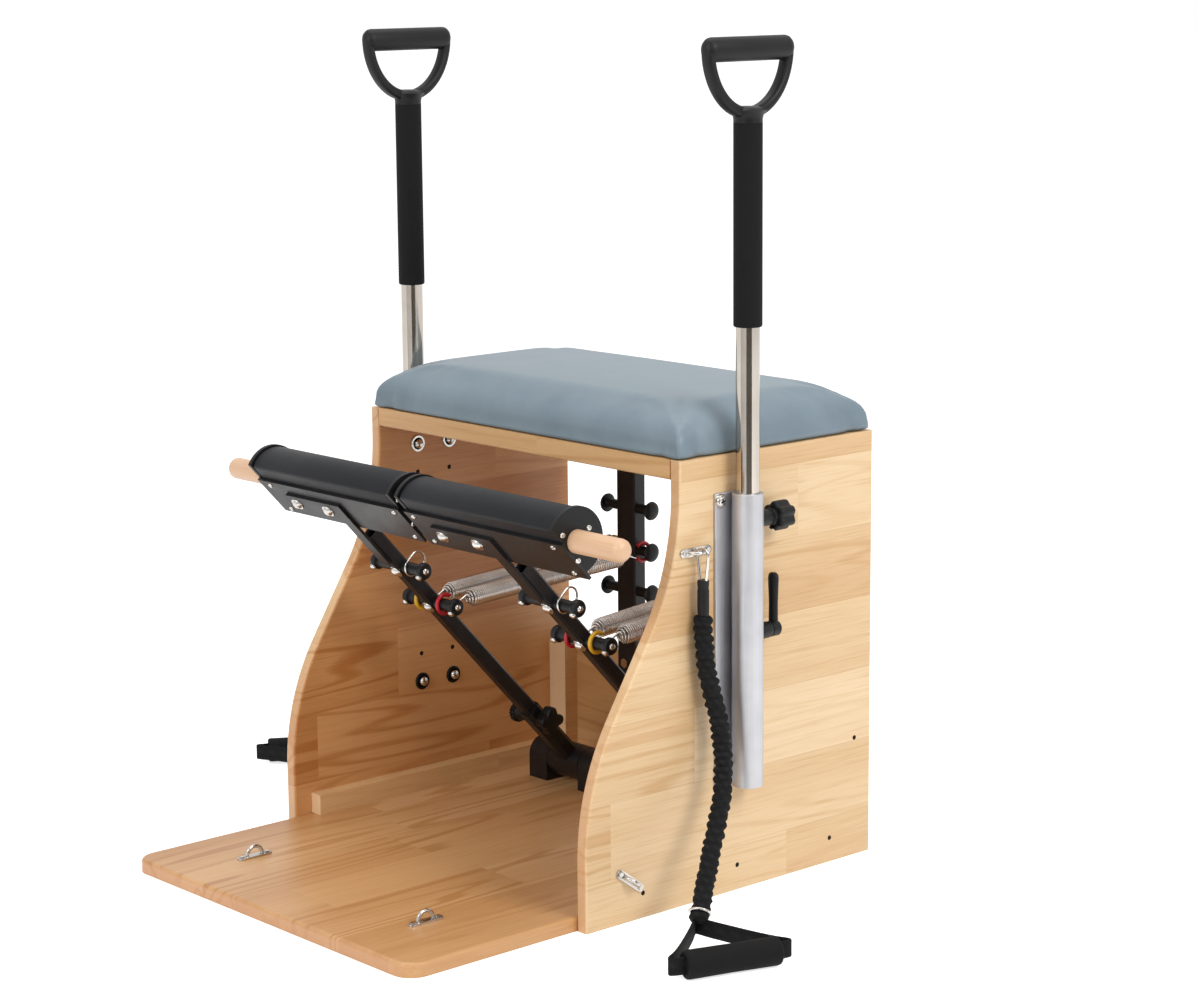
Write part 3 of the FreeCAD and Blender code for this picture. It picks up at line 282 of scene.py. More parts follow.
@dataclass(frozen=True)
class BareMetal:
    """Uncoated metal: drawn, turned, extruded or polished, with faint lines left along the way it was worked."""

    name: str
    tone: str
    shade: str
    rough: float
    line_mm: float = 0.8
    along: Axis = Axis.Z
    strength: float = 0.04

    def build(self) -> bpy.types.Material:
        """Make the metal with its working lines drawn coarse enough to show.

        Returns:
            The material.
        """
        made, tree, shader = new_material(self.name)
        place = add_node(tree, "TexCoord").outputs["Object"]
        scale = [1.0, 1.0, 1.0]
        scale[self.along.value] = 0.012
        drawn = add_node(tree, "Mapping", {"Vector": place, "Scale": tuple(scale)}).outputs[0]
        lines = add_node(tree, "TexNoise", {"Vector": drawn, "Scale": 1000 / self.line_mm, "Detail": 2.0}).outputs["Fac"]
        smudge = add_node(tree, "TexNoise", {"Vector": place, "Scale": 18.0, "Detail": 3.0}).outputs["Fac"]
        tone = add_node(tree, "ValToRGB", {"Fac": smudge}, [(0.3, srgb(self.shade)), (0.7, srgb(self.tone))]).outputs["Color"]
        tree.links.new(tone, shader.inputs["Base Color"])
        rough = add_node(tree, "MapRange", {"Value": lines, "From Min": 0.3, "From Max": 0.7, "To Min": self.rough * 0.8, "To Max": self.rough * 1.25}).outputs[0]
        tree.links.new(rough, shader.inputs["Roughness"])
        bump = add_node(tree, "Bump", {"Strength": self.strength, "Distance": 0.0001, "Height": lines}).outputs[0]
        tree.links.new(bump, shader.inputs["Normal"])
        shader.inputs["Metallic"].default_value = 1.0
        return made


@dataclass(frozen=True)
class WovenBlack:
    """Black polyester cloth or webbing: a plain weave of fine threads, matt with a little fuzz."""

    name: str
    tone: str = "0B0B0C"
    lit: str = "1B1B1D"
    thread_mm: float = 1.3

    def build(self) -> bpy.types.Material:
        """Make the weave, its threads drawn about twice their real size so that they show.

        Returns:
            The material.
        """
        made, tree, shader = new_material(self.name)
        place = add_node(tree, "TexCoord").outputs["Object"]
        warp = add_node(tree, "TexWave", {"Vector": place, "Scale": 1000 / self.thread_mm / 20, "Distortion": 0.6}, bands_direction="DIAGONAL").outputs["Fac"]
        weft = add_node(tree, "TexWave", {"Vector": place, "Scale": 1000 / self.thread_mm / 20, "Distortion": 0.6}, bands_direction="Z").outputs["Fac"]
        weave = add_node(tree, "Math", {0: warp, 1: weft}, operation="MULTIPLY").outputs[0]
        tone = add_node(tree, "ValToRGB", {"Fac": weave}, [(0.0, srgb(self.tone)), (1.0, srgb(self.lit))]).outputs["Color"]
        tree.links.new(tone, shader.inputs["Base Color"])
        bump = add_node(tree, "Bump", {"Strength": 0.4, "Distance": 0.0004, "Height": weave}).outputs[0]
        tree.links.new(bump, shader.inputs["Normal"])
        shader.inputs["Roughness"].default_value = 0.85
        shader.inputs["Specular IOR Level"].default_value = 0.25
        return made


@dataclass
class Finishes:
    """Every finish on the chair, built once."""

    made: Dict[str, bpy.types.Material] = field(default_factory=dict)

    def build(self) -> "Finishes":
        """Build all the materials.

        Returns:
            This set.
        """
        kinds: List[Any] = [
            # Both side panels darken their inward faces with painted shade.
            LacqueredRubberwood("rubberwood_panel", Axis.Y, Axis.Z, inward_painted_shade="EACAAA"),
            # A shaded copy of the panel wood for the left panel, deeper in tone with stronger arches: painted shade.
            LacqueredRubberwood("rubberwood_far_panel", Axis.Y, Axis.Z, deep="C79660", arches=0.34, inward_painted_shade="EACAAA"),
            LacqueredRubberwood("rubberwood_floor", Axis.Y, Axis.X, pale="E0B688", middle="D2A26E", deep="B7804A", arches=0.34),
            LacqueredRubberwood("rubberwood_rail", Axis.X, Axis.Z, pale="E2BC8A", middle="D6A974", deep="C08C57"),
            # The battens' pale end tone is partly sawn end grain and partly a painted highlight on their lit ends.
            LacqueredRubberwood("rubberwood_batten", Axis.Y, Axis.Z, pale="EFCB99", middle="E2B985", deep="D0A26C", end_tone="F3DAB6", stave_mm=400.0),
            LacqueredRubberwood("raw_plywood", Axis.X, Axis.Y, pale="C79E6B", middle="B98D5B", deep="A87B4A"),
            LacqueredRubberwood("beech_dowel", Axis.X, Axis.Z, pale="E4BF9D", middle="DBB28E", deep="CDA27D", end_tone="DDB591", stave_mm=900.0,
                                piece_mm=5000.0, fibre_mm=1.8, arches=0.1, tint=0.1),
            GrainedVinyl("seat_vinyl", "6F808B", "80909A", rough=0.38),
            GrainedVinyl("pad_vinyl", "131417", "1C1D21", cell_mm=1.4, rough=0.52, gloss=0.2),
            CoatedBlack("black_powder_coat", "161415", "1F1D1D", 0.9, 0.42, 0.08, gloss=0.3),
            CoatedBlack("black_moulding", "0E0E0F", "171718", 0.7, 0.46, gloss=0.25),
            CoatedBlack("black_foam", "0F0F10", "171718", 1.1, 0.8, 0.3, 0.0005, 0.18),
            BareMetal("anodised_extrusion", "BFBFC2", "B1B1B5", 0.46, 1.4, Axis.Z, 0.14),
            BareMetal("polished_tube", "C6BEB5", "B4ABA1", 0.12, 0.9, Axis.Z, 0.02),
            BareMetal("plated_steel", "D2CFCB", "B9B5B0", 0.2, 0.6, Axis.Y),
            BareMetal("spring_nickel", "E6E3DF", "CDC8C2", 0.2, 0.6, Axis.Y),
            CoatedBlack("red_dip", "A80F22", "C01A2C", 1.2, 0.32, 0.05, gloss=0.5),
            CoatedBlack("yellow_dip", "CE9A16", "E0B02A", 1.2, 0.32, 0.05, gloss=0.5),
            WovenBlack("gathered_cloth"),
            WovenBlack("webbing", "0A0A0B", "18181A", 2.0),
            # Painted shade: a dark brown that stands in for the shade inside holes, screw recesses and bolt slots.
            CoatedBlack("dark_hole", "1A110A", "24180F", 2.0, 0.9),
        ]
        for kind in kinds:
            self.made[kind.name] = kind.build()
        return self

    def __getitem__(self, name: str) -> bpy.types.Material:
        """The finish of that name."""
        return self.made[name]


def dress(node: str, material: bpy.types.Material) -> None:
    """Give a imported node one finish.

    Args:
        node: The node's name.
        material: Its finish.
    """
    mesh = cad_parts[node].data
    mesh.materials.clear()
    mesh.materials.append(material)


def to_object(name: str, bm: bmesh.types.BMesh, material: bpy.types.Material, body: str, angle: float = 38.0) -> bpy.types.Object:
    """Close a bmesh into a piece that rides on a body.

    Args:
        name: The piece's name.
        bm: The shape, which is freed.
        material: Its finish.
        body: The body that carries it.
        angle: Edges sharper than this, in degrees, stay crisp.

    Returns:
        The new object.
    """
    bmesh.ops.remove_doubles(bm, verts=bm.verts[:], dist=1e-6)
    bmesh.ops.holes_fill(bm, edges=[e for e in bm.edges if e.is_boundary], sides=4)
    bmesh.ops.recalc_face_normals(bm, faces=bm.faces[:])
    mesh = bpy.data.meshes.new(name)
    bm.to_mesh(mesh)
    bm.free()
    mesh.shade_smooth()
    mesh.set_sharp_from_angle(angle=math.radians(angle))
    mesh.materials.append(material)
    made = bpy.data.objects.new(name, mesh)
    bpy.context.scene.collection.objects.link(made)
    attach(made, body)
    LOG.info("%s on %s: %d faces", name, body, len(mesh.polygons))
    return made


def lathe(bm: bmesh.types.BMesh, profile: Sequence[Tuple[float, float]], origin: Vector, axis: Vector, steps: int = 40) -> None:
    """Spin a profile about an axis.

    Args:
        bm: The bmesh to add to.
        profile: Radius and distance along the axis, in millimetres.
        origin: Where distance zero lies, in metres.
        axis: The way that distance runs.
        steps: Facets round.
    """
    way = axis.normalized()
    side = way.orthogonal().normalized()
    verts = [bm.verts.new(origin + side * (r * MM) + way * (h * MM)) for r, h in profile]
    edges = [bm.edges.new(ends) for ends in zip(verts, verts[1:])]
    bmesh.ops.spin(bm, geom=verts + edges, cent=origin, axis=way, angle=2 * math.pi, steps=steps, use_merge=True)


def tube_mesh(name: str, points: Sequence[Vector], radius: float, sides: int = 3, order: int = 4) -> bpy.types.Mesh:
    """Sweep a round wire along a smooth line.

    Args:
        name: The mesh's name.
        points: The line's control points, in metres.
        radius: The wire's radius in metres.
        sides: Bevel resolution of the wire.
        order: Order of the line.

    Returns:
        The swept mesh, with closed ends.
    """
    line = bpy.data.curves.new(name, "CURVE")
    line.dimensions = "3D"
    spline = line.splines.new("NURBS")
    spline.points.add(len(points) - 1)
    for spot, point in zip(spline.points, points):
        spot.co = (*point, 1.0)
    spline.order_u = order
    spline.use_endpoint_u = True
    spline.resolution_u = 3
    line.bevel_depth = radius
    line.bevel_resolution = sides
    line.use_fill_caps = True
    holder = bpy.data.objects.new(name, line)
    mesh = bpy.data.meshes.new_from_object(holder)
    bpy.data.objects.remove(holder)
    bpy.data.curves.remove(line)
    return mesh


def star(bm: bmesh.types.BMesh, radius: float, lobes: int, depth: float, width: float, origin: Vector, axis: Vector) -> None:
    """Add a lobed knob: a waved disc, drawn out and softened.

    Args:
        bm: The bmesh to add to.
        radius: Over the lobes, in millimetres.
        lobes: How many there are.
        depth: How far the waist lies in.
        width: Along the axis.
        origin: The middle of the near face, in metres.
        axis: The way that the width runs.
    """
    steps = 12 * lobes
    ring = bmesh.ops.create_circle(bm, segments=steps, radius=1.0, cap_ends=True)["verts"]
    face = next(f for f in ring[0].link_faces)
    for number, vert in enumerate(ring):
        wave = 0.5 - 0.5 * math.cos(2 * math.pi * number * lobes / steps)
        vert.co = vert.co.normalized() * (radius - depth * wave ** 1.5) * MM
    grown = bmesh.ops.extrude_face_region(bm, geom=[face])["geom"]
    far = [g for g in grown if isinstance(g, bmesh.types.BMVert)]
    bmesh.ops.translate(bm, verts=far, vec=(0, 0, width * MM))
    rims = [e for v in ring + far for e in v.link_edges if len({round(p.co.z, 7) for p in e.verts}) == 1]
    made = bmesh.ops.bevel(bm, geom=list(set(rims)), offset=0.16 * width * MM, segments=3, affect="EDGES", profile=0.5, material=-1)
    verts = {v for f in made["faces"] for v in f.verts} | {v for v in ring + far if v.is_valid}
    turn = Vector((0, 0, 1)).rotation_difference(axis).to_matrix().to_4x4()
    bmesh.ops.transform(bm, matrix=Matrix.Translation(origin) @ turn, verts=list(verts))


def rounded_ends(radius: float, length: float, soft: float) -> List[Tuple[float, float]]:
    """Profile of a solid bar whose ends are rounded.

    Args:
        radius: The bar's radius.
        length: Its length.
        soft: Radius of the rounding.

    Returns:
        Radius and distance pairs for a lathe.
    """
    arc = [(radius - soft + soft * math.sin(math.radians(q)), soft - soft * math.cos(math.radians(q))) for q in (0, 22.5, 45, 67.5, 90)]
    return [(0.0, 0.0)] + arc + [(r, length - h) for r, h in reversed(arc)] + [(0.0, length)]


@dataclass
class Cabinet:
    """Side panels, floor board, rear board, deck and battens, with their screws and spare holes."""

    finishes: Finishes
    half_out: float = 310.0
    half_in: float = 292.0
    screw_spots: Tuple[Tuple[float, float], ...] = ((352.0, 160.0), (306.0, 32.5), (136.5, 32.7), (-27.0, 32.0))
    spare_spots: Tuple[Tuple[float, float], ...] = ((104.0, 210.0), (160.0, 210.0), (104.0, 470.0), (160.0, 470.0))

    def build(self) -> None:
        """Dress the boards and add what is too small for the frame."""
        # The left panel takes the shaded copy of the panel wood, which is painted shade.
        woods = {"side_panel_left": "rubberwood_far_panel", "side_panel_right": "rubberwood_panel", "base_board": "rubberwood_floor",
                 "rear_board": "rubberwood_rail", "top_deck": "rubberwood_rail", "rear_top_rail": "rubberwood_rail",
                 "battens": "rubberwood_batten", "seat_board": "raw_plywood"}
        for node, finish in woods.items():
            dress(node, self.finishes[finish])
        # Sunk screws and spare hole mouths are drawn in the painted hole shade.
        self.dots("panel_screws", self.half_out, 1, self.screw_spots, [(0.0, 0.2), (1.2, 0.2), (1.6, 0.4), (2.8, 0.3), (3.2, 0.05), (3.2, -0.3), (0.0, -0.3)])
        self.dots("spare_hole_mouths", self.half_in, -1, self.spare_spots, [(0.0, 0.25), (2.8, 0.25), (3.3, 0.05), (3.3, -0.3), (0.0, -0.3)])

    def dots(self, name: str, x: float, way: int, spots: Sequence[Tuple[float, float]], profile: Sequence[Tuple[float, float]]) -> None:
        """Small dark rounds on both panels: sunk screws, whose dark colour partly stands in for the shade of their
        recess, or discs of painted shade at the mouths of spare holes.

        Args:
            name: The piece's name.
            x: The face that they lie on.
            way: 1 where the face looks outwards, -1 inwards.
            spots: Their places along and up the panel.
            profile: Radius and height pairs.
        """
        bm = bmesh.new()
        for _, side in SIDES:
            for y, z in spots:
                lathe(bm, profile, Vector((side * x, y, z)) * MM, Vector((side * way, 0, 0)), 20)
        to_object(name, bm, self.finishes["dark_hole"], "frame")


@dataclass
class Seat:
    """The padded seat: foam on a board under taut vinyl, swelled by a short cloth run."""

    finishes: Finishes
    half_x: float = 309.0
    y_front: float = 39.0
    y_rear: float = 382.0
    z_low: float = 567.3
    height: float = 58.0
    corner: float = 6.0
    turn: float = 1.2
    shoulder: float = 64.0
    tuck_at: float = 37.0
    tuck_wide: float = 11.0
    tuck_deep: float = 3.4
    tuck_tall: float = 52.0
    side_h: float = 17.0
    crown: float = 4.0
    swell_cap: float = 4.0

    def build(self) -> bpy.types.Object:
        """Model the cushion and swell it.

        Returns:
            The cushion.
        """
        bm = bmesh.new()
        middle = Vector((0, (self.y_front + self.y_rear) / 2, self.z_low + self.height / 2)) * MM
        size = Vector((2 * self.half_x, self.y_rear - self.y_front, self.height)) * MM
        bmesh.ops.create_cube(bm, size=1.0, matrix=Matrix.Translation(middle) @ Matrix.Diagonal((*size, 1.0)))
        uprights = [e for e in bm.edges if abs(e.verts[0].co.z - e.verts[1].co.z) > 0.01]
        bmesh.ops.bevel(bm, geom=uprights, offset=self.corner * MM, segments=4, affect="EDGES", profile=0.5, material=-1)
        made = to_object("seat_pad", bm, self.finishes["seat_vinyl"], "frame", 60.0)
        even(made, 0.004)
        self.slope(made)
        swell(made, 0.005, self.swell_cap * MM, lambda p: p.z < (self.z_low + 3.0) * MM)
        self.corner_tucks(made)
        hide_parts("seat_cushion")
        return made

    def slope(self, made: bpy.types.Object) -> None:
        """Round the sides over in one long slope, steep at the board and level at the top.

        Args:
            made: The cushion, still a block.
        """
        half_y = (self.y_rear - self.y_front) / 2
        mid_y = (self.y_front + self.y_rear) / 2
        for vert in made.data.vertices:
            x, y, z = (c / MM for c in vert.co)
            gaps = (self.half_x - abs(x), half_y - abs(y - mid_y))
            turn = 2.0 + self.turn * max(0.0, min(gaps))
            near = max(0.0, 1.0 - abs(gaps[0] - gaps[1]) / turn)
            inward = min(gaps) - 0.25 * turn * near ** 2
            share = min(1.0, max(0.0, inward / self.shoulder))
            rise = math.sqrt(1.0 - (1.0 - share) ** 2.2)
            bulge = self.crown * (1 - (x / self.half_x) ** 2) * (1 - ((y - mid_y) / half_y) ** 2)
            top = self.side_h + (self.height - self.side_h) * rise + max(0.0, bulge)
            vert.co.z = (self.z_low + (z - self.z_low) * top / self.height) * MM

    def corner_tucks(self, made: bpy.types.Object) -> None:
        """Press shallow pleats into the four corners, where the vinyl is gathered under the board.

        Args:
            made: The cushion.
        """
        half_y = (self.y_rear - self.y_front) / 2
        mid_y = (self.y_front + self.y_rear) / 2
        for vert in made.data.vertices:
            x, y, z = (c / MM for c in vert.co)
            gaps = (self.half_x - abs(x), half_y - abs(y - mid_y))
            low = max(0.0, 1.0 - (z - self.z_low) / self.tuck_tall)
            push = self.tuck_deep * low * math.exp(-((max(gaps) - self.tuck_at) / self.tuck_wide) ** 2)
            if gaps[0] < gaps[1]:
                vert.co.x -= math.copysign(push, x) * MM
            else:
                vert.co.y -= math.copysign(push, y - mid_y) * MM


def swell(made: bpy.types.Object, voxel: float, cap: float, held: Callable[[Vector], bool]) -> None:
    """Remesh a padded piece, blow it up a little as cloth and smooth it.

    Args:
        made: The piece, whose mesh is replaced.
        voxel: Remesh size in metres.
        cap: The furthest that a point may move, in metres.
        held: Tells which points stay where they are.
    """
    scene = bpy.context.scene
    even(made, voxel)
    rest = [v.co.copy() for v in made.data.vertices]
    pins = made.vertex_groups.new(name="held")
    pins.add([i for i, p in enumerate(rest) if held(p)], 1.0, "REPLACE")
    cloth = made.modifiers.new("skin", "CLOTH")
    cloth.settings.quality = 4
    cloth.settings.use_pressure = True
    cloth.settings.uniform_pressure_force = 4.0
    cloth.settings.effector_weights.gravity = 0.0
    cloth.settings.vertex_group_mass = "held"
    cloth.point_cache.frame_start = 1
    cloth.point_cache.frame_end = 20
    for number in range(1, 21):
        scene.frame_set(number)
    bake(made)
    scene.frame_set(1)
    for vert, start in zip(made.data.vertices, rest):
        move = vert.co - start
        if move.length > cap:
            vert.co = start + move * (cap / move.length)
    made.vertex_groups.clear()
    smooth = made.modifiers.new("relax", "SMOOTH")
    smooth.factor = 0.5
    smooth.iterations = 4
    bake(made)
    made.data.shade_smooth()


def even(made: bpy.types.Object, voxel: float) -> None:
    """Give a piece an even mesh.

    Args:
        made: The piece, whose mesh is replaced.
        voxel: Remesh size in metres.
    """
    remesh = made.modifiers.new("even", "REMESH")
    remesh.mode = "VOXEL"
    remesh.voxel_size = voxel
    remesh.use_smooth_shade = True
    bake(made)


def bake(made: bpy.types.Object) -> None:
    """Apply every modifier of a piece to its mesh.

    Args:
        made: The piece.
    """
    shown = made.evaluated_get(bpy.context.evaluated_depsgraph_get())
    mesh = bpy.data.meshes.new_from_object(shown)
    finish = made.data.materials[0] if made.data.materials else None
    old = made.data
    made.modifiers.clear()
    made.data = mesh
    mesh.name = old.name
    bpy.data.meshes.remove(old)
    if finish and not mesh.materials:
        mesh.materials.append(finish)


@dataclass
class Pedal:
    """One sprung pedal: dressed steelwork, a padded roll, screws and its coloured springs."""

    finishes: Finishes
    name: str
    side: int
    angle: float = 47.0
    hinge_y: float = 269.0
    hinge_z: float = 50.0
    arm_x: float = 154.0
    pad_r: float = 41.0
    pad_s: float = 596.0
    pad_seat: float = 6.0
    pad_o: float = -9.0
    split: float = 6.0
    half_out: float = 310.0
    end_t: float = 6.0
    plate_low: float = 545.0
    plate_high: float = 610.0
    dowel_r: float = 14.5
    dowel_in: float = 70.0
    dowel_out: float = 88.0
    peg_s: float = 370.0
    peg_high_s: float = 448.0
    peg_reach: float = 54.0
    foot_s: float = 576.0
    foot_o: float = 14.0
    foot_bolts: Tuple[float, ...] = (26.0, 94.0)
    arm_half: float = 10.0
    keeper_r: float = 12.0
    keeper_wire: float = 1.4
    keeper_run: float = 12.0
    clamp_s: float = 106.0
    socket_half: float = 13.15
    lane: float = 23.0
    column_x: float = 146.0
    column_lane: float = 31.5
    peg_y: float = 369.0
    peg_z: float = 345.0

    @property
    def body(self) -> str:
        """The body that carries this pedal."""
        return self.name + "_pedal"

    def at(self, x: float, s: float, o: float) -> Vector:
        """A point of the pedal in metres.

        Args:
            x: Across the chair, in millimetres.
            s: Along the arm from the hinge.
            o: Out of the arm's front face side.

        Returns:
            The point in the chair's frame.
        """
        turn = math.radians(self.angle)
        y = self.hinge_y - s * math.cos(turn) - o * math.sin(turn)
        z = self.hinge_z + s * math.sin(turn) - o * math.cos(turn)
        return Vector((x, y, z)) * MM

    def way(self, s: float, o: float) -> Vector:
        """A direction in the pedal's own plane."""
        return (self.at(0, s, o) - self.at(0, 0, 0)).normalized()

    def build(self) -> None:
        """Dress the steelwork and add the soft and wound pieces."""
        coats = {"hub": "black_powder_coat", "arm": "black_powder_coat", "pad_plate": "black_powder_coat", "pad_ends": "black_moulding"}
        for piece, finish in coats.items():
            dress(self.name + "_" + piece, self.finishes[finish])
        self.roll()
        self.pad_screws()
        self.dowel()
        self.pegs()
        self.bolts()
        self.arm_clamp()
        for lane, part, coat in (("inner", -self.side, "red_dip"), ("outer", self.side, "yellow_dip")):
            front = self.at(self.side * self.arm_x + part * self.lane, self.peg_s, 0)
            rear = Vector((self.side * self.column_x + part * self.column_lane, self.peg_y, self.peg_z)) * MM
            ExtensionSpring(self.finishes, self.name, lane, coat, front, rear).build()

    def roll(self) -> bpy.types.Object:
        """The padded roll, flat where it lies on its plate.

        Returns:
            The roll.
        """
        bm = bmesh.new()
        inner = self.side * (self.split + self.end_t + 0.3)
        outer = self.side * (self.half_out - self.end_t - 0.3)
        axis = Vector((1, 0, 0))
        start = self.at(min(inner, outer), self.pad_s, self.pad_o)
        r = self.pad_r - 0.6
        length = abs(outer - inner)
        lathe(bm, [(0, 0), (r - 4, 0), (r - 1.2, 0.9), (r, 4), (r, length - 4), (r - 1.2, length - 0.9), (r - 4, length), (0, length)], start, axis, 72)
        bmesh.ops.remove_doubles(bm, verts=bm.verts[:], dist=1e-6)
        cut_at = self.at(0, self.pad_s, self.pad_seat - 0.3)
        cut = bmesh.ops.bisect_plane(bm, geom=bm.verts[:] + bm.edges[:] + bm.faces[:], plane_co=cut_at, plane_no=self.way(0, 1), clear_outer=True)
        rim = [e for e in cut["geom_cut"] if isinstance(e, bmesh.types.BMEdge)]
        bmesh.ops.contextual_create(bm, geom=rim)
        fold = [e for e in rim if e.is_valid]
        bmesh.ops.bevel(bm, geom=fold, offset=3.0 * MM, segments=3, affect="EDGES", profile=0.5, material=-1)
        made = to_object(self.name + "_roll", bm, self.finishes["pad_vinyl"], self.body, 50.0)
        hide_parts(self.name + "_pad_cushion")
        return made

    def dowel(self) -> None:
        """The turned wooden handle at the outer end."""
        bm = bmesh.new()
        inner = self.half_out - self.dowel_in
        long = self.dowel_in + self.dowel_out
        lathe(bm, rounded_ends(self.dowel_r, long, 11.0), self.at(self.side * inner, self.pad_s, self.pad_o), Vector((self.side, 0, 0)), 48)
        made = to_object(self.name + "_turned_dowel", bm, self.finishes["beech_dowel"], self.body, 60.0)
        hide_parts(self.name + "_dowel")

    def pegs(self) -> None:
        """Cross pegs on the arm, with a round cap at each end."""
        bm = bmesh.new()
        for s in (self.peg_s, self.peg_high_s):
            reach = self.peg_reach
            head = [(0.0, 0.0), (8.5, 0.0), (10.4, 0.8), (11.4, 2.6), (11.4, 8.2), (10.6, 9.6), (8.4, 10.0), (8.0, 10.4)]
            far = [(r, 2 * reach - h) for r, h in reversed(head)]
            lathe(bm, head + far, self.at(self.side * self.arm_x - reach, s, 0), Vector((1, 0, 0)), 36)
        made = to_object(self.name + "_arm_pegs", bm, self.finishes["black_moulding"], self.body)
        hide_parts(self.name + "_spring_pegs")

    def bolts(self) -> None:
        """Dome-headed bolts on washers in the foot and arm, cap screws in the pegs, and the keeper link."""
        bm = bmesh.new()
        dome = [(0, 5.4), (3.0, 5.1), (5.4, 3.9), (6.9, 1.9), (7.2, 1.2), (9.4, 1.2), (9.8, 0.6), (9.8, -0.3), (0, -0.3)]
        small = [(0, 3.6), (2.4, 3.4), (4.0, 2.4), (4.6, 1.0), (4.6, -1.5), (0, -1.5)]
        x = self.side * self.arm_x
        out = self.way(0, 1)
        for reach in self.foot_bolts:
            lathe(bm, dome, self.at(x - reach, self.foot_s, self.foot_o), out, 28)
        for s in (self.peg_s, self.peg_high_s):
            lathe(bm, dome, self.at(x, s, self.arm_half), out, 28)
            for end in (-1, 1):
                lathe(bm, small, self.at(x + end * (self.peg_reach - 5.0), s, 10.8), out, 20)
                lathe(bm, small, self.at(x + end * (self.peg_reach - 1.2), s, 0), Vector((end, 0, 0)), 20)
        r = self.keeper_r
        slack = r - self.keeper_wire - 8.3
        loop = [(r * math.sin(q), -slack + r * math.cos(q)) for q in (math.radians(a) for a in range(-90, 91, 20))]
        loop += [(r * math.sin(q), -slack - self.keeper_run + r * math.cos(q)) for q in (math.radians(a) for a in range(90, 271, 20))]
        wire = tube_mesh("keeper", [self.at(x + self.lane, self.peg_high_s + ds, o) for ds, o in loop + loop[:2]], self.keeper_wire * MM)
        bm.from_mesh(wire)
        bpy.data.meshes.remove(wire)
        made = to_object(self.name + "_pedal_bolts", bm, self.finishes["plated_steel"], self.body)
        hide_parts(self.name + "_pedal_fasteners")

    def arm_clamp(self) -> None:
        """The star knob that clamps the arm in its socket, and its knurled nut."""
        x = self.side * self.arm_x
        bm = bmesh.new()
        near = self.socket_half + 0.5
        star(bm, 20.0, 4, 7.0, 16.0, self.at(x + near + 8.0, self.clamp_s, 0), Vector((1, 0, 0)))
        stud = near + self.socket_half + 14.0
        lathe(bm, [(0, 0), (4, 0), (4, stud), (9, stud), (11, stud + 1.5), (11, stud + 9), (0, stud + 9)], self.at(x - self.socket_half - 14.0, self.clamp_s, 0), Vector((1, 0, 0)), 32)
        knob = to_object(self.name + "_arm_knob", bm, self.finishes["black_moulding"], self.name + "_arm_clamp")
        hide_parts(self.name + "_clamp_knob")
        bm = bmesh.new()
        star(bm, 14.4, 18, 1.1, 9.0, self.at(x - self.socket_half - 20.0, self.clamp_s, 0), Vector((-1, 0, 0)))
        lathe(bm, [(4.3, 0), (9.0, 0), (9.6, 8), (11.8, 20), (12.2, 21), (4.3, 21), (4.3, 0)], self.at(x - self.socket_half, self.clamp_s, 0), Vector((-1, 0, 0)), 36)
        nut = to_object(self.name + "_knurled_nut", bm, self.finishes["black_moulding"], self.body)
        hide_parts(self.name + "_clamp_nut")

    def pad_screws(self) -> None:
        """Small screws in the end plates and in the pad plate."""
        bm = bmesh.new()
        head = [(0.0, 1.2), (1.0, 1.0), (1.3, 1.9), (3.0, 1.6), (3.9, 0.4), (3.9, -0.2), (0, -0.2)]
        for end, where in ((1, self.half_out), (-1, self.split)):
            for turn in (35.0, 155.0, 275.0):
                q = math.radians(turn)
                spot = self.at(self.side * where, self.pad_s, self.pad_o) + Vector((0, math.cos(q), math.sin(q))) * 24.0 * MM
                lathe(bm, head, spot, Vector((self.side * end, 0, 0)), 18)
        for x in (self.split + 14.0, self.half_out - 22.0):
            for s in (self.plate_low + 8.0, self.plate_high - 8.0):
                lathe(bm, head, self.at(self.side * x, s, 10.0), self.way(0, 1), 18)
        to_object(self.name + "_pad_screws", bm, self.finishes["plated_steel"], self.body)


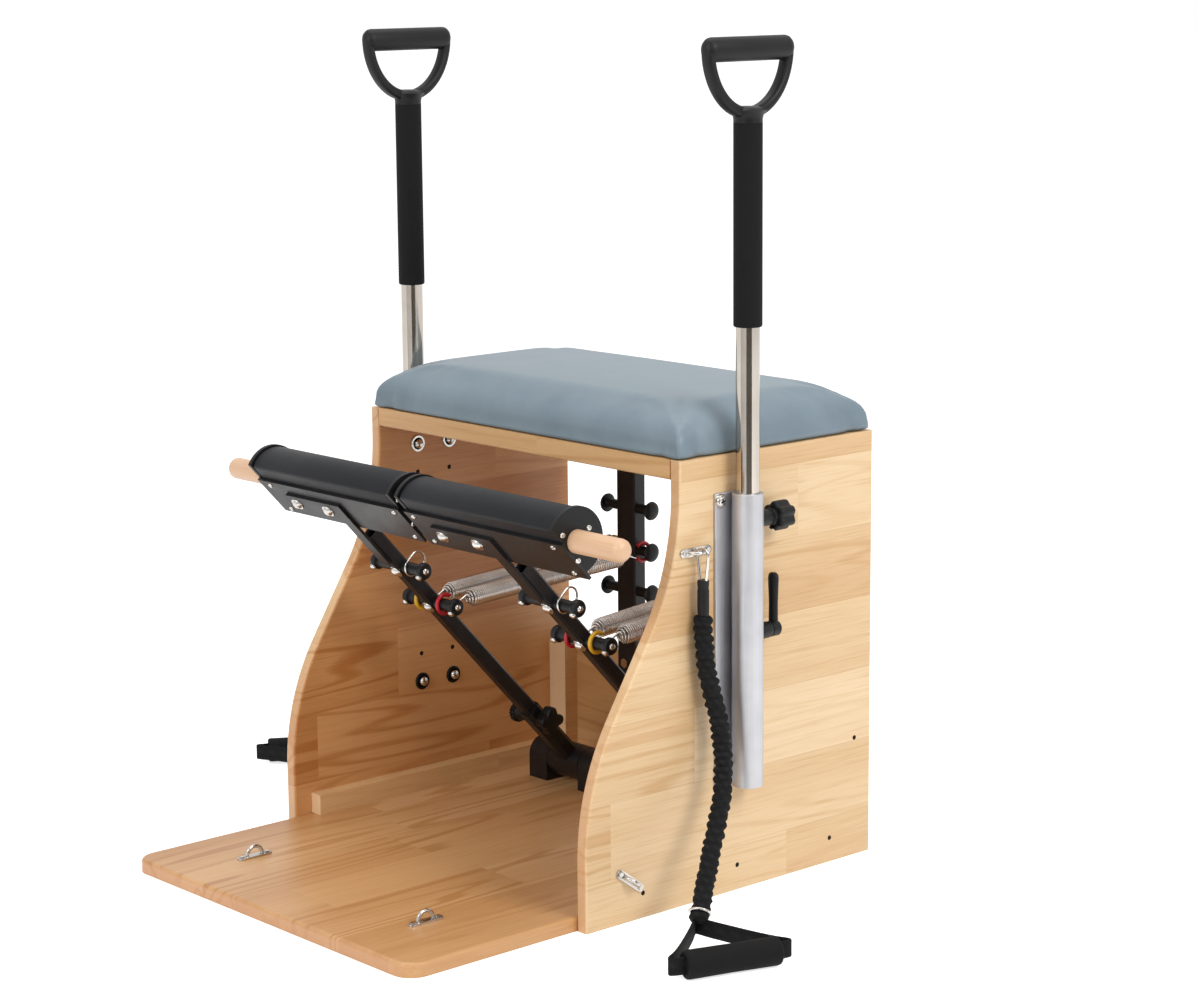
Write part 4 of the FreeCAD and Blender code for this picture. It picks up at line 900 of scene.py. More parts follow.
@dataclass
class ExtensionSpring:
    """A close-wound extension spring whose hooked ends are dipped in colour."""

    finishes: Finishes
    pedal: str
    lane: str
    coat: str
    front: Vector
    rear: Vector
    wire: float = 3.0
    outer: float = 27.0
    loop_r: float = 13.0
    neck: float = 24.0
    pitch: float = 3.3
    front_peg: float = 16.0
    rear_peg: float = 14.0

    def build(self) -> None:
        """Wind the spring and dip its ends."""
        u = (self.rear - self.front).normalized()
        v = Vector((0, 0, 1)).cross(u).normalized()
        w = u.cross(v)
        slack = self.loop_r - 2.4
        near = slack - self.front_peg / 2
        far = (self.rear - self.front).length / MM - (slack - self.rear_peg / 2)

        def spot(a: float, b: float, c: float) -> Vector:
            return self.front + (u * a + v * b + w * c) * MM

        first = [spot(near + self.loop_r * math.cos(q), 0, self.loop_r * math.sin(q)) for q in self.turns(50, 330)]
        last = [spot(far - self.loop_r * math.cos(q), 0, self.loop_r * math.sin(q)) for q in self.turns(330, 50)]
        begin = near + self.loop_r + self.neck
        end = far - self.loop_r - self.neck
        radius = (self.outer - self.wire) / 2
        count = int((end - begin) / self.pitch)
        steps = 12 * count
        coil = []
        for i in range(steps + 1):
            q = math.radians(90 + 30 * i)
            grow = min(1.0, 0.45 + 0.55 * min(i, steps - i) / 30)
            coil.append(spot(begin + (end - begin) * i / steps, radius * grow * math.cos(q), radius * grow * math.sin(q)))
        lead_in = [spot(near + self.loop_r + self.neck * 0.45, 0, -2.0)]
        lead_out = [spot(far - self.loop_r - self.neck * 0.45, 0, -2.0)]
        mesh = tube_mesh("wire", first + lead_in + coil + lead_out + last, self.wire / 2 * MM, 1)
        made = self.place(mesh, "coil", self.finishes["spring_nickel"], spot(end, 0, 0), spot(begin, 0, 0))
        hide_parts(self.pedal + "_spring_" + self.lane)
        for tag, loop in (("front_dip", first), ("rear_dip", last)):
            self.place(tube_mesh("dip", loop, (self.wire / 2 + 1.5) * MM, 2), tag, self.finishes[self.coat], spot(end, 0, 0), spot(begin, 0, 0))

    @staticmethod
    def turns(first: float, last: float) -> List[float]:
        """Angles in radians from the first to the last, in fifteen steps."""
        return [math.radians(first + (last - first) * i / 15) for i in range(16)]

    def place(self, mesh: bpy.types.Mesh, tag: str, material: bpy.types.Material, start: Vector, end: Vector) -> bpy.types.Object:
        """Turn a swept mesh into a piece that lies between the frame and the pedal.

        Args:
            mesh: The mesh.
            tag: What the piece is.
            material: Its finish.
            start: Not used.
            end: Not used.

        Returns:
            The piece.
        """
        mesh.materials.clear()
        mesh.materials.append(material)
        mesh.shade_smooth()
        made = bpy.data.objects.new("%s_spring_%s_%s" % (self.pedal, self.lane, tag), mesh)
        bpy.context.scene.collection.objects.link(made)
        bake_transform(made)
        LOG.info("%s: %d faces", made.name, len(mesh.polygons))
        return made


@dataclass
class HandPost:
    """A hand post: polished tube, foam sleeve and D handle, with its clamp knob and lever."""

    finishes: Finishes
    name: str
    side: int
    x: float = 333.0
    y: float = 132.0
    post_low: float = 330.0
    post_top: float = 984.0
    sleeve_low: float = 727.0
    sleeve_top: float = 976.0
    sleeve_r: float = 18.0
    post_r: float = 15.0
    bar_z: float = 1066.0
    bar_r: float = 13.5
    bar_w: float = 146.0
    bar_tall: float = 1.12
    rim: float = 12.5
    web: float = 18.0
    hoop_tall: float = 1.18
    half_out: float = 310.0
    holder_r: float = 20.0
    holder_low: float = 144.0
    holder_top: float = 520.0
    flange_half: float = 37.0
    bolt_half: float = 28.0
    bolt_levels: Tuple[float, ...] = (170.0, 510.0)
    boss_end: float = 37.5
    knob_z: float = 484.0
    lever_z: float = 340.0

    def spot(self, dy: float, z: float) -> Vector:
        """A point on the post's middle plane, in metres."""
        return Vector((self.side * self.x, self.y + dy, z)) * MM

    def build(self) -> None:
        """Dress the holder and make what moves in it."""
        self.holder()
        up = Vector((0, 0, 1))
        bm = bmesh.new()
        r = self.post_r
        long = self.post_top - self.post_low
        lathe(bm, [(r - 2, 0), (r - 0.6, 0), (r, 0.6), (r, long), (r - 2, long), (r - 2, 0)], self.spot(0, self.post_low), up, 64)
        tube = to_object(self.name + "_tube", bm, self.finishes["polished_tube"], self.name + "_hand_post")
        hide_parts(self.name + "_post")
        bm = bmesh.new()
        r = self.sleeve_r
        inner = self.post_r + 0.15
        long = self.sleeve_top - self.sleeve_low - 0.1
        profile = [(inner, 0.0), (r - 1.6, 0.0), (r - 0.4, 0.7), (r, 2.2), (r, long), (inner, long), (inner, 0.0)]
        lathe(bm, profile, self.spot(0, self.sleeve_low), up, 56)
        sleeve = to_object(self.name + "_foam_sleeve", bm, self.finishes["black_foam"], self.name + "_hand_post")
        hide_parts(self.name + "_grip_sleeve")
        self.handle()
        self.clamps()

    def handle(self) -> None:
        """The moulded D handle: bar, rim and the neck that runs on from the sleeve."""
        bm = bmesh.new()
        lathe(bm, rounded_ends(self.bar_r, self.bar_w, 11.0), self.spot(-self.bar_w / 2, self.bar_z), Vector((0, 1, 0)), 48)
        bar = Matrix.Translation(self.spot(0, self.bar_z + self.bar_r))
        bmesh.ops.scale(bm, vec=(0.92, 1.0, self.bar_tall), space=bar.inverted(), verts=bm.verts[:])
        start = len(bm.verts)
        mid = self.bar_w / 2 - self.rim / 2
        ring = bmesh.ops.create_circle(bm, segments=28, radius=1.0)["verts"]
        for vert in ring:
            squared = Vector((math.copysign(abs(vert.co.x) ** 0.75, vert.co.x), math.copysign(abs(vert.co.y) ** 0.75, vert.co.y)))
            vert.co = self.spot(mid, self.bar_z) + Vector((squared.x * self.web / 2, squared.y * self.rim / 2, 0)) * MM
        edges = list({e for v in ring for e in v.link_edges})
        bmesh.ops.spin(bm, geom=ring + edges, cent=self.spot(0, self.bar_z), axis=(-1, 0, 0), angle=math.pi, steps=40)
        bm.verts.ensure_lookup_table()
        hoop = [bm.verts[i] for i in range(start, len(bm.verts))]
        ends = {e for v in hoop for e in v.link_edges if e.is_boundary}
        bmesh.ops.holes_fill(bm, edges=list(ends), sides=0)
        middle = Matrix.Translation(self.spot(0, self.bar_z))
        bmesh.ops.scale(bm, vec=(1.0, 1.0, self.hoop_tall), space=middle.inverted(), verts=hoop)
        r = self.sleeve_r
        bore = self.post_r + 0.1
        neck = [(0, 9), (bore, 9), (bore, 0), (r, 0), (r, 4), (r + 0.8, 8), (r + 2.8, 12), (r + 5.2, 15), (r, 18), (r - 7, 19.5), (0, 20)]
        lathe(bm, neck, self.spot(0, self.sleeve_top), Vector((0, 0, 1)), 48)
        made = to_object(self.name + "_d_handle", bm, self.finishes["black_moulding"], self.name + "_hand_post", 60.0)
        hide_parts(self.name + "_handle")

    def holder(self) -> None:
        """The extruded holder: a tube on a flat flange, with pan-headed bolts whose slots are painted shade, and black
        collars for the two clamps.
        """
        bm = bmesh.new()
        long = self.holder_top - self.holder_low
        bore = self.post_r + 0.2
        r = self.holder_r
        wall = [(bore, 0), (r - 1.6, 0), (r - 0.4, 0.6), (r, 2), (r, long - 0.8), (r - 0.8, long), (bore, long), (bore, 0)]
        lathe(bm, wall, self.spot(0, self.holder_low), Vector((0, 0, 1)), 64)
        half = (self.holder_top + self.holder_low) / 2
        for x0, x1, wide in ((self.half_out, self.half_out + 4.0, 2 * self.flange_half), (self.half_out + 3.5, self.x - bore - 1.5, 0.62 * r)):
            centre = Vector((self.side * (x0 + x1) / 2, self.y, half)) * MM
            made = bmesh.ops.create_cube(bm, size=1.0, matrix=Matrix.Translation(centre) @ Matrix.Diagonal(((x1 - x0) * MM, wide * MM, long * MM, 1.0)))
            outer = [e for e in {e for v in made["verts"] for e in v.link_edges} if all(v.co.x * self.side > (x1 - 0.01) * MM for v in e.verts)]
            bmesh.ops.bevel(bm, geom=outer, offset=1.2 * MM, segments=3, affect="EDGES", profile=0.5, material=-1)
        made = to_object(self.name + "_extruded_holder", bm, self.finishes["anodised_extrusion"], "frame")
        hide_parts("post_holder_" + self.name)
        bm = bmesh.new()
        slot_shade = bmesh.new()
        pan = [(0, 4.9), (3.5, 4.8), (6.0, 4.2), (7.6, 2.8), (8.2, 1.0), (8.2, 0.0), (9.6, 0.0), (9.6, -0.2), (0, -0.2)]
        for z in self.bolt_levels:
            for dy in (-self.bolt_half, self.bolt_half):
                face = Vector((self.side * (self.half_out + 4.2), self.y + dy, z)) * MM
                lathe(bm, pan, face, Vector((self.side, 0, 0)), 28)
                # Painted shade: two thin dark bars cross each pan head in the hole shade colour, standing in for the
                # slot's shade.
                for turn in (0.3, 0.3 + math.pi / 2):
                    cross = Matrix.Translation(face + Vector((self.side * 4.7, 0, 0)) * MM) @ Matrix.Rotation(turn, 4, "X") @ Matrix.Diagonal((0.5 * MM, 8.0 * MM, 1.7 * MM, 1.0))
                    bmesh.ops.create_cube(slot_shade, size=1.0, matrix=cross)
        to_object(self.name + "_pan_bolts", bm, self.finishes["plated_steel"], "frame")
        to_object(self.name + "_bolt_slots", slot_shade, self.finishes["dark_hole"], "frame")
        bm = bmesh.new()
        for z in (self.knob_z, self.lever_z):
            lathe(bm, [(4.2, 17), (10.5, 17), (10.5, 34), (9.6, self.boss_end - 0.3), (4.2, self.boss_end - 0.3), (4.2, 17)], self.spot(0, z), Vector((0, 1, 0)), 32)
        made = to_object(self.name + "_clamp_collars", bm, self.finishes["black_moulding"], "frame")
        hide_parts("clamp_bosses")

    def clamps(self) -> None:
        """The star knob above and the lever below."""
        away = Vector((0, 1, 0))
        stud = self.boss_end - 15.3
        bm = bmesh.new()
        lathe(bm, [(0, 0), (4, 0), (4, stud), (10, stud), (11, stud + 1), (11, stud + 8), (0, stud + 8)], self.spot(15.3, self.knob_z), away, 32)
        star(bm, 19.0, 6, 3.6, 26.0, self.spot(self.boss_end + 6, self.knob_z), away)
        knob = to_object(self.name + "_star_knob", bm, self.finishes["black_moulding"], self.name + "_post_screw")
        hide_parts(self.name + "_post_knob")
        bm = bmesh.new()
        lathe(bm, [(0, 0), (4, 0), (4, stud), (8.6, stud), (10, stud + 1.5), (10, stud + 13), (8, stud + 15.5), (0, stud + 16)], self.spot(15.3, self.lever_z), away, 32)
        start = len(bm.verts)
        lathe(bm, [(0, -2), (7.4, -2), (6.8, 12), (6.6, 34), (7.6, 58), (7.8, 65), (7.0, 69.4), (4.6, 71.6), (0, 72)], self.spot(self.boss_end + 8, self.lever_z), Vector((0, 0, 1)), 32)
        bm.verts.ensure_lookup_table()
        grip = [bm.verts[i] for i in range(start, len(bm.verts))]
        hub = Matrix.Translation(self.spot(self.boss_end + 8, self.lever_z))
        bmesh.ops.scale(bm, vec=(1.0, 0.72, 1.0), space=hub.inverted(), verts=grip)
        lever = to_object(self.name + "_clamp_lever", bm, self.finishes["black_moulding"], self.name + "_post_clamp")
        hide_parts(self.name + "_post_lever")


@dataclass
class SideCord:
    """An elastic side cord in a gathered sleeve, with its webbing and foam grip."""

    finishes: Finishes
    name: str
    route: Tuple[Tuple[float, float, float], ...]
    grip: Tuple[Tuple[float, float, float], Tuple[float, float, float]]
    radius: float = 10.2
    gather: float = 4.2
    period: float = 11.5
    grip_r: float = 17.5
    eye_z: float = 452.0
    eye_wire: float = 5.0
    link_wire: float = 4.0
    link_r: float = 9.0
    link_low: float = 413.5
    ferrule_r: float = 7.4
    ferrule_len: float = 46.0
    strap_w: float = 22.0
    strap_t: float = 3.0
    strap_mid: float = 17.0
    strap_out: float = 24.0
    strap_tuck: float = 14.0

    def centreline(self) -> List[Vector]:
        """Points along the cord's smooth line.

        Returns:
            The points, from the ferrule to the webbing.
        """
        line = bpy.data.curves.new(self.name + "_line", "CURVE")
        line.dimensions = "3D"
        spline = line.splines.new("NURBS")
        spline.points.add(len(self.route) - 1)
        for spot, point in zip(spline.points, self.route):
            spot.co = (*(Vector(point) * MM), 1.0)
        spline.order_u = 3
        spline.use_endpoint_u = True
        spline.resolution_u = 40
        holder = bpy.data.objects.new(self.name + "_line", line)
        mesh = bpy.data.meshes.new_from_object(holder)
        points = [v.co.copy() for v in mesh.vertices]
        bpy.data.objects.remove(holder)
        bpy.data.meshes.remove(mesh)
        bpy.data.curves.remove(line)
        return points

    def build(self) -> None:
        points = self.centreline()
        sleeve = self.sleeve(points)
        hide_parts(self.name + "_cord")
        pieces = [self.link(), self.ferrule(), self.strap(), self.ring(), self.foam_grip()]

    def sleeve(self, points: Sequence[Vector]) -> bpy.types.Object:
        """Sweep a ring along the line, swelling it at each gather.

        Args:
            points: The line.

        Returns:
            The sleeve.
        """
        bm = bmesh.new()
        run = 0.0
        side = (points[1] - points[0]).orthogonal().normalized()
        ring: List[bmesh.types.BMVert] = []
        edges: List[bmesh.types.BMEdge] = []
        sides = 26
        for i, point in enumerate(points):
            way = (points[min(i + 1, len(points) - 1)] - points[max(i - 1, 0)]).normalized()
            side = (side - way * side.dot(way)).normalized()
            other = way.cross(side)
            if i:
                run += (point - points[i - 1]).length / MM
            if not ring:
                made = bmesh.ops.create_circle(bm, segments=sides, radius=0.01, cap_ends=True)
                ring = made["verts"]
                edges = list({e for v in ring for e in v.link_edges})
            else:
                grown = bmesh.ops.extrude_edge_only(bm, edges=edges)["geom"]
                fresh = [g for g in grown if isinstance(g, bmesh.types.BMVert)]
                follow = {v: next(e.other_vert(v) for e in v.link_edges if e.other_vert(v) in set(ring)) for v in fresh}
                order = {v: k for k, v in enumerate(ring)}
                ring = sorted(fresh, key=lambda v: order[follow[v]])
                edges = [g for g in grown if isinstance(g, bmesh.types.BMEdge)]
            for k, vert in enumerate(ring):
                q = 2 * math.pi * k / sides
                skew = 0.16 * math.sin(q + run / 23.0) + 0.10 * math.sin(2 * q - run / 37.0) + 0.2 * math.sin(run / 29.0)
                wave = abs(math.sin(math.pi * (run / self.period + skew)))
                crimp = 0.6 * math.sin(3 * q + run * 0.13) + 0.4 * math.sin(7 * q - run * 0.31)
                reach = self.radius + self.gather * (wave ** 0.6 - 0.5) + crimp * wave
                vert.co = point + (side * math.cos(q) + other * math.sin(q)) * reach * MM
        bmesh.ops.contextual_create(bm, geom=edges)
        return to_object(self.name + "_gathered_sleeve", bm, self.finishes["gathered_cloth"], "frame", 180.0)

    def from_mesh(self, tag: str, mesh: bpy.types.Mesh, finish: str, slot: str) -> bpy.types.Object:
        """Turn a swept mesh into a piece of this cord.

        Args:
            tag: What the piece is.
            mesh: The mesh, which is removed.
            finish: The finish's name.
            slot: Not used.

        Returns:
            The piece.
        """
        bm = bmesh.new()
        bm.from_mesh(mesh)
        bpy.data.meshes.remove(mesh)
        bmesh.ops.remove_doubles(bm, verts=bm.verts[:], dist=1e-6)
        bmesh.ops.holes_fill(bm, edges=[e for e in bm.edges if e.is_boundary], sides=0)
        return to_object(self.name + "_" + tag, bm, self.finishes[finish], "frame", 60.0)

    def link(self) -> bpy.types.Object:
        """The bent wire link between the pad eye and the ferrule, wider at the eye.

        Returns:
            The link.
        """
        x, y, _ = self.route[0]
        crown = self.eye_z + (self.eye_wire + self.link_wire) / 2 + 0.1
        wide = self.link_r
        half = [(1.0, self.link_low), (4.0, self.link_low), (0.62 * wide, self.link_low + 5.0), (wide, crown - 12.0), (1.05 * wide, crown - 3.0), (0.6 * wide, crown), (0.0, crown)]
        outline = half + [(-dx, z) for dx, z in reversed(half[:-1])]
        mesh = tube_mesh("link", [Vector((x + dx, y, z)) * MM for dx, z in outline], self.link_wire / 2 * MM)
        made = self.from_mesh("wire_link", mesh, "plated_steel", "bright_steel")
        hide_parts("cord_links")
        return made

    def ferrule(self) -> bpy.types.Object:
        """The black ferrule crimped on the cord's top.

        Returns:
            The ferrule.
        """
        r = self.ferrule_r
        long = self.ferrule_len
        bm = bmesh.new()
        profile = [(0, -3), (r - 1, -3), (r - 0.5, 0), (r - 0.1, 6), (r, 9), (r, 32), (r - 0.5, 35), (r - 0.5, 37), (r, 40), (r, long - 1.5), (r - 1.2, long), (0, long)]
        lathe(bm, profile, Vector(self.route[0]) * MM, Vector((0, 0, 1)), 36)
        made = to_object(self.name + "_crimped_ferrule", bm, self.finishes["black_moulding"], "frame")
        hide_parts("cord_ferrules")
        return made

    def strap(self) -> bpy.types.Object:
        """The webbing that runs from the cord to both ends of the grip, standing on edge.

        Returns:
            The strap.
        """
        a, b = (Vector(p) for p in self.grip)
        way = (b - a).normalized()
        tip = Vector(self.route[-1])
        tip.z = a.z
        fold = tip + (tip - (a + b) / 2).normalized() * self.strap_tuck
        turn = way * self.strap_out
        spots = [a + way * 8.0, a - turn * 0.5, a - turn + (fold - a) * 0.04, a - turn * 0.5 + (fold - a) * 0.2, fold + (a - fold) * 0.2, fold + (a - fold) * 0.03,
                 fold + (b - fold) * 0.03, fold + (b - fold) * 0.2, b + turn * 0.5 + (fold - b) * 0.2, b + turn + (fold - b) * 0.04, b + turn * 0.5, b - way * 8.0]
        line = bpy.data.curves.new("strap", "CURVE")
        line.dimensions = "2D"
        spline = line.splines.new("NURBS")
        spline.points.add(len(spots) - 1)
        for spot, point in zip(spline.points, spots):
            spot.co = (point.x * MM, point.y * MM, 0.0, 1.0)
        spline.order_u = 3
        spline.use_endpoint_u = True
        spline.resolution_u = 8
        line.fill_mode = "NONE"
        line.extrude = (self.strap_w - self.strap_t) / 2 * MM
        line.bevel_depth = self.strap_t / 2 * MM
        line.bevel_resolution = 2
        holder = bpy.data.objects.new("strap", line)
        mesh = bpy.data.meshes.new_from_object(holder)
        bpy.data.objects.remove(holder)
        bpy.data.curves.remove(line)
        mesh.transform(Matrix.Translation((0, 0, self.strap_mid * MM)))
        made = self.from_mesh("webbing_loop", mesh, "webbing", "black_cloth")
        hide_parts("cord_straps")
        return made

    def ring(self) -> bpy.types.Object:
        """The plated ring that gathers the sleeve's lower end on the webbing.

        Returns:
            The ring.
        """
        tip = Vector(self.route[-1])
        way = (tip - Vector(self.route[-2])).normalized()
        side = way.orthogonal().normalized()
        other = way.cross(side)
        mid = tip - way * 12.0
        turns = [math.radians(30 * i) for i in range(15)]
        mesh = tube_mesh("ring", [(mid + (side * math.cos(q) + other * math.sin(q)) * 13.4) * MM for q in turns], 1.7 * MM)
        return self.from_mesh("gather_ring", mesh, "plated_steel", "bright_steel")

    def foam_grip(self) -> bpy.types.Object:
        """The foam grip on the floor.

        Returns:
            The grip.
        """
        a, b = (Vector(p) * MM for p in self.grip)
        long = (b - a).length / MM
        r = self.grip_r
        bm = bmesh.new()
        profile = [(0, 1.5), (r - 7, 1.5), (r - 5, 0.2), (r - 2, 0.0), (r - 0.5, 1.2), (r, 4.0), (r - 0.5, long / 2), (r, long - 4.0), (r - 0.5, long - 1.2),
                   (r - 2, long), (r - 5, long - 0.2), (r - 7, long - 1.5), (0, long - 1.5)]
        lathe(bm, profile, a, b - a, 48)
        made = to_object(self.name + "_floor_grip", bm, self.finishes["black_foam"], "frame")
        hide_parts("cord_grips")
        return made


@dataclass
class Fittings:
    """Metal and black fittings on the frame: columns, pegs, eyes, blocks and bolts."""

    finishes: Finishes
    column_x: float = 146.0
    column_half: float = 19.0
    peg_out: float = 25.0
    peg_y: float = 369.0
    peg_levels: Tuple[float, ...] = (284.9, 344.9, 404.9)
    eye_spots: Tuple[Tuple[float, float, float], ...] = ((63.0, 452.0, 0.0), (-50.0, 53.0, -36.0))
    base_eye: Tuple[float, float, float] = (180.0, -268.0, 18.0)
    half_out: float = 310.0
    half_in: float = 292.0
    nut_levels: Tuple[float, float] = (170.0, 510.0)
    nut_rows: Tuple[float, float] = (104.0, 160.0)
    eye_r: float = 12.0

    def build(self) -> None:
        """Dress the fittings and make the round ones."""
        coats = {"spring_columns": "black_powder_coat", "frame_bolts": "plated_steel",
                 "eye_screws": "plated_steel", "bearing_blocks": "black_powder_coat", "hinge_shafts": "plated_steel"}
        for node, finish in coats.items():
            dress(node, self.finishes[finish])
        self.column_pegs()
        self.nuts()
        self.eyes()

    def nuts(self) -> None:
        """Inner nuts of the post holders: plated above, on black washers below."""
        plated = bmesh.new()
        black = bmesh.new()
        washer = [(4.0, 0.0), (12.0, 0.0), (12.0, 1.6), (11.2, 2.4), (4.0, 2.4), (4.0, 0.0)]
        dome = [(0, 8.6), (3.0, 8.2), (5.4, 6.9), (6.6, 5.0), (6.8, 2.4), (8.6, 2.4), (8.6, 0.5), (0, 0.5)]
        for _, side in SIDES:
            for z, under in zip(self.nut_levels, (black, plated)):
                for y in self.nut_rows:
                    face = Vector((side * self.half_in, y, z)) * MM
                    lathe(under, washer, face, Vector((-side, 0, 0)), 36)
                    lathe(plated, dome, face, Vector((-side, 0, 0)), 28)
        made = to_object("inner_nuts", plated, self.finishes["plated_steel"], "frame")
        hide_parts("holder_nuts")
        to_object("inner_washers", black, self.finishes["black_moulding"], "frame")

    def column_pegs(self) -> None:
        """Mushroom-headed pegs through the columns."""
        bm = bmesh.new()
        reach = self.column_half + self.peg_out
        head = [(0, -8.0), (6.0, -7.6), (10.5, -6.0), (13.0, -3.4), (13.5, -1.6), (12.6, -0.2), (7.4, 0.2), (7.0, 1.0)]
        far = [(r, 2 * reach - h) for r, h in reversed(head)]
        for _, side in SIDES:
            for z in self.peg_levels:
                lathe(bm, head + far, Vector((side * self.column_x - reach, self.peg_y, z)) * MM, Vector((1, 0, 0)), 36)
        made = to_object("mushroom_pegs", bm, self.finishes["black_moulding"], "frame")
        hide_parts("column_pegs")

    def eyes(self) -> None:
        """Pad eyes: a pressed plate with a bent wire arch."""
        places = []
        for _, side in SIDES:
            for y, z, tilt in self.eye_spots:
                axes = Matrix(((0, 0, side), (1, 0, 0), (0, 1, 0))).to_4x4()
                places.append(Matrix.Translation(Vector((side * self.half_out, y, z)) * MM) @ axes @ Matrix.Rotation(math.radians(tilt), 4, "Z"))
            x, y, z = self.base_eye
            places.append(Matrix.Translation(Vector((side * x, y, z)) * MM) @ Matrix.Rotation(math.pi / 2, 4, "Z"))
        bm = bmesh.new()
        arch = tube_mesh("arch", [Vector((self.eye_r * math.cos(q), 0, 3.0 + self.eye_r * math.sin(q))) * MM for q in (math.pi * i / 12 for i in range(13))], 2.5 * MM)
        for place in places:
            made = bmesh.ops.create_cube(bm, size=1.0, matrix=place @ Matrix.Translation((0, 0, 1.5 * MM)) @ Matrix.Diagonal((52 * MM, 11 * MM, 3 * MM, 1)))
            normal = place.to_3x3() @ Vector((0, 0, 1))
            sides = [e for e in {e for v in made["verts"] for e in v.link_edges} if abs((e.verts[0].co - e.verts[1].co).normalized().dot(normal)) > 0.99]
            rounded = bmesh.ops.bevel(bm, geom=sides, offset=5.3 * MM, segments=7, affect="EDGES", profile=0.5, material=-1)
            top = place @ Vector((0, 0, 3 * MM))
            rim = [e for f in rounded["faces"] for e in f.edges if all(abs((v.co - top).dot(normal)) < 1e-6 for v in e.verts)]
            bmesh.ops.bevel(bm, geom=rim, offset=0.8 * MM, segments=2, affect="EDGES", profile=0.5, material=-1)
            wire = arch.copy()
            wire.transform(place)
            bm.from_mesh(wire)
            bpy.data.meshes.remove(wire)
        made = to_object("wire_eyes", bm, self.finishes["plated_steel"], "frame")
        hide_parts("pad_eyes")


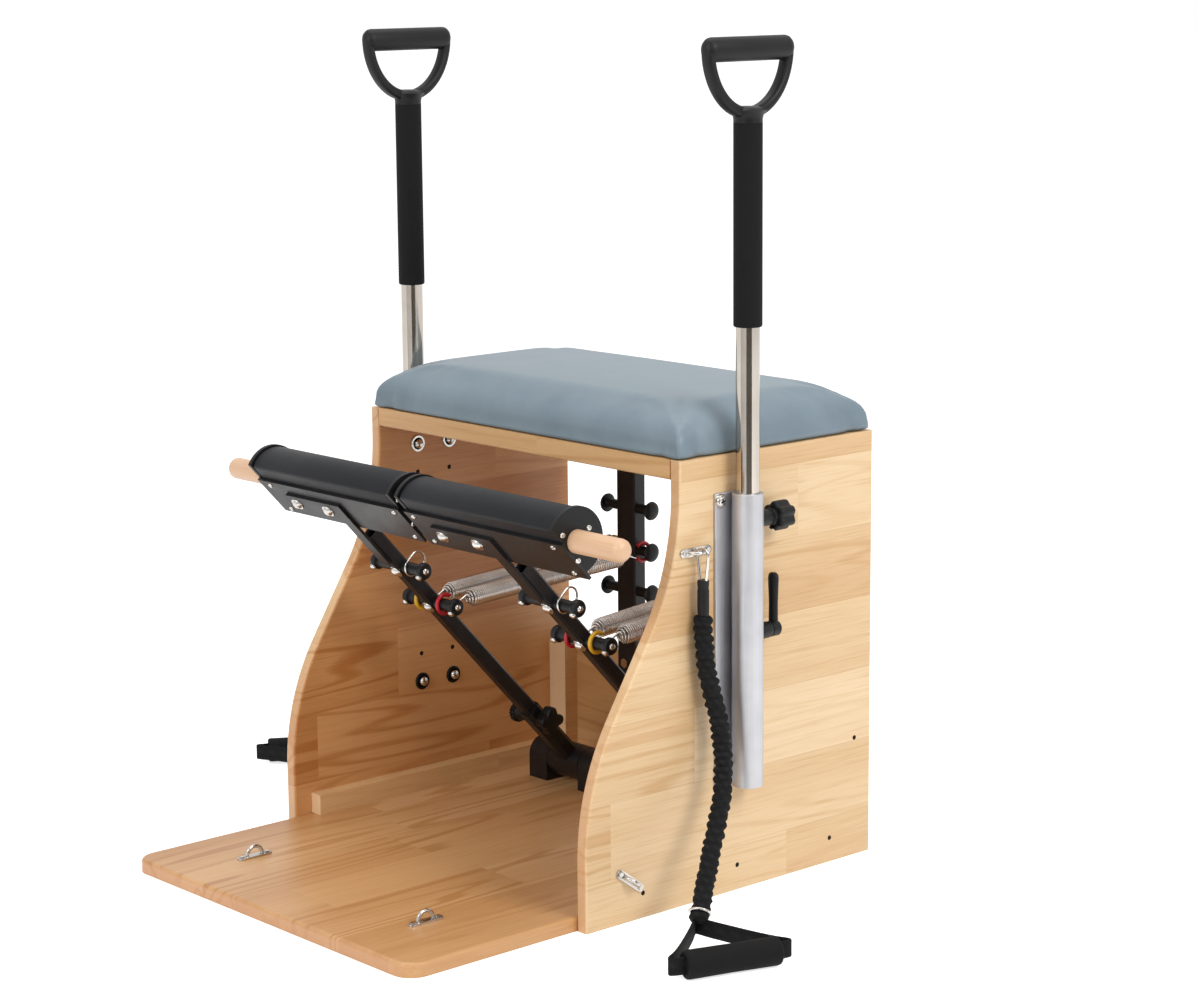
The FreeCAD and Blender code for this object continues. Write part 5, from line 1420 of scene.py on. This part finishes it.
@dataclass
class Studio:
    """Pale floor, soft lamps and the camera at the photograph's place."""

    eye: Tuple[float, float, float] = (2.8811, -2.3828, 1.1857)
    yaw: float = 48.35
    pitch: float = 10.67
    roll: float = -0.50
    focal_px: float = 2933.0
    width_px: float = 1196.0

    def build(self) -> None:
        """Set up floor, light and camera."""
        scene = bpy.context.scene
        scene.view_settings.view_transform = "Standard"
        self.floor()
        self.lamps()
        self.sky()
        self.cards()
        self.camera()

    def floor(self) -> None:
        """A wide pale floor that shows white to the camera and keeps a soft shadow."""
        bm = bmesh.new()
        bmesh.ops.create_grid(bm, x_segments=1, y_segments=1, size=30.0, matrix=Matrix.Translation((0, 0, -0.0005)))
        mesh = bpy.data.meshes.new("floor")
        bm.to_mesh(mesh)
        bm.free()
        made, tree, shader = new_material("studio_floor")
        shader.inputs["Base Color"].default_value = srgb("F4F4F4")
        shader.inputs["Roughness"].default_value = 0.9
        shader.inputs["Specular IOR Level"].default_value = 0.1
        path = add_node(tree, "LightPath")
        seen = add_node(tree, "Math", {0: path.outputs["Is Camera Ray"], 1: path.outputs["Is Glossy Ray"]}, operation="MAXIMUM").outputs[0]
        seen = add_node(tree, "Math", {0: seen, 1: path.outputs["Is Transmission Ray"]}, operation="MAXIMUM").outputs[0]
        lift = add_node(tree, "Math", {0: seen, 1: 0.7}, operation="MULTIPLY").outputs[0]
        shader.inputs["Emission Color"].default_value = grey(1.0)
        tree.links.new(lift, shader.inputs["Emission Strength"])
        mesh.materials.append(made)
        plane = bpy.data.objects.new("floor", mesh)
        bpy.context.scene.collection.objects.link(plane)

    def lamps(self) -> None:
        """Soft lamps at the right, in front and above."""
        for name, place, size, power in LAMPS:
            lamp = bpy.data.lights.new(name, "AREA")
            lamp.size = size
            lamp.energy = power
            made = bpy.data.objects.new(name, lamp)
            made.location = place
            made.rotation_euler = (Vector((0, 0, 0.4)) - Vector(place)).to_track_quat("-Z", "Y").to_euler()
            bpy.context.scene.collection.objects.link(made)

    def sky(self) -> None:
        """A pale surround, white where the camera or a reflection sees it."""
        world = bpy.data.worlds.new("studio")
        bpy.context.scene.world = world
        world.use_nodes = True
        tree = world.node_tree
        tree.nodes.clear()
        path = add_node(tree, "LightPath")
        shown = add_node(tree, "Math", {0: path.outputs["Is Camera Ray"], 1: path.outputs["Is Glossy Ray"]}, operation="MAXIMUM").outputs[0]
        shown = add_node(tree, "Math", {0: shown, 1: path.outputs["Is Transmission Ray"]}, operation="MAXIMUM").outputs[0]
        strength = add_node(tree, "MapRange", {"Value": shown, "To Min": 0.46, "To Max": 1.0}).outputs[0]
        back = add_node(tree, "Background", {"Color": grey(1.0), "Strength": strength})
        add_node(tree, "OutputWorld", {"Surface": back.outputs[0]})

    def cards(self) -> None:
        """A pale and a dark card before the posts that only reflections show, as a studio uses to draw out chrome."""
        for name, tone, bearing, half in CARDS:
            turn = math.radians(bearing)
            place = Vector((0.333 + 2.0 * math.cos(turn), 0.132 + 2.0 * math.sin(turn), 0.5))
            stood = Matrix.Rotation(turn + math.pi / 2, 4, "Z") @ Matrix.Rotation(math.pi / 2, 4, "X")
            bm = bmesh.new()
            shape = Matrix.Translation(place) @ stood @ Matrix.Diagonal((half, 0.62, 1.0, 1.0))
            bmesh.ops.create_grid(bm, x_segments=1, y_segments=1, size=1.0, matrix=shape)
            mesh = bpy.data.meshes.new(name)
            bm.to_mesh(mesh)
            bm.free()
            made, _, shader = new_material(name + "_felt")
            shader.inputs["Base Color"].default_value = srgb(tone)
            shader.inputs["Roughness"].default_value = 1.0
            mesh.materials.append(made)
            held = bpy.data.objects.new(name, mesh)
            bpy.context.scene.collection.objects.link(held)
            held.visible_camera = False
            held.visible_diffuse = False
            held.visible_shadow = False
            held.visible_transmission = False

    def camera(self) -> None:
        """The camera, turned and placed as the photograph was taken."""
        yaw, pitch, roll = (math.radians(a) for a in (self.yaw, self.pitch, self.roll))
        back = Vector((math.sin(yaw) * math.cos(pitch), -math.cos(yaw) * math.cos(pitch), math.sin(pitch)))
        right = Vector((math.cos(yaw), math.sin(yaw), 0.0))
        up = back.cross(right)
        turned = right * math.cos(roll) + up * math.sin(roll)
        upright = up * math.cos(roll) - right * math.sin(roll)
        lens = bpy.data.cameras.new("camera")
        lens.sensor_fit = "HORIZONTAL"
        lens.sensor_width = 36.0
        lens.lens = self.focal_px / self.width_px * 36.0
        lens.clip_end = 100.0
        made = bpy.data.objects.new("camera", lens)
        made.matrix_world = Matrix((turned, upright, back)).transposed().to_4x4()
        made.location = self.eye
        bpy.context.scene.collection.objects.link(made)
        bpy.context.scene.camera = made


LAMPS = (("key", (3.4, 0.4, 2.7), 1.6, 72.0), ("front", (0.4, -3.8, 2.2), 2.4, 66.0), ("top", (-0.2, 0.3, 3.6), 2.6, 40.0))
CARDS = (("pale_card", "EFEFEF", -88.0, 1.06), ("dark_card", "6E6A65", -32.0, 1.02))
RIGHT_ROUTE = ((325.0, 63.0, 372.48), (325.0, 63.0, 312.0), (336.0, 82.0, 236.0), (356.0, 70.0, 160.0), (389.0, 14.0, 94.0), (421.0, -38.0, 25.0))
LEFT_ROUTE = ((-325.0, 63.0, 372.48), (-325.0, 63.0, 312.0), (-343.0, 72.0, 236.0), (-380.0, 84.0, 165.0), (-424.0, 90.0, 98.0), (-468.0, 93.0, 25.0))
RIGHT_GRIP = ((507.0, -142.0, 17.5), (545.0, -26.0, 17.5))
LEFT_GRIP = ((-597.0, 51.0, 17.5), (-535.0, 157.0, 17.5))


def main() -> None:
    """Build every piece in order."""
    logging.basicConfig(level=logging.INFO, format="%(name)s: %(message)s")
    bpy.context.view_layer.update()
    finishes = Finishes().build()
    Studio().build()
    SideCord(finishes, "right", RIGHT_ROUTE, RIGHT_GRIP).build()
    SideCord(finishes, "left", LEFT_ROUTE, LEFT_GRIP).build()
    Cabinet(finishes).build()
    Fittings(finishes).build()
    Seat(finishes).build()
    for name, side in SIDES:
        Pedal(finishes, name, side).build()
        HandPost(finishes, name, side).build()


if __name__ == "__main__":
    main()
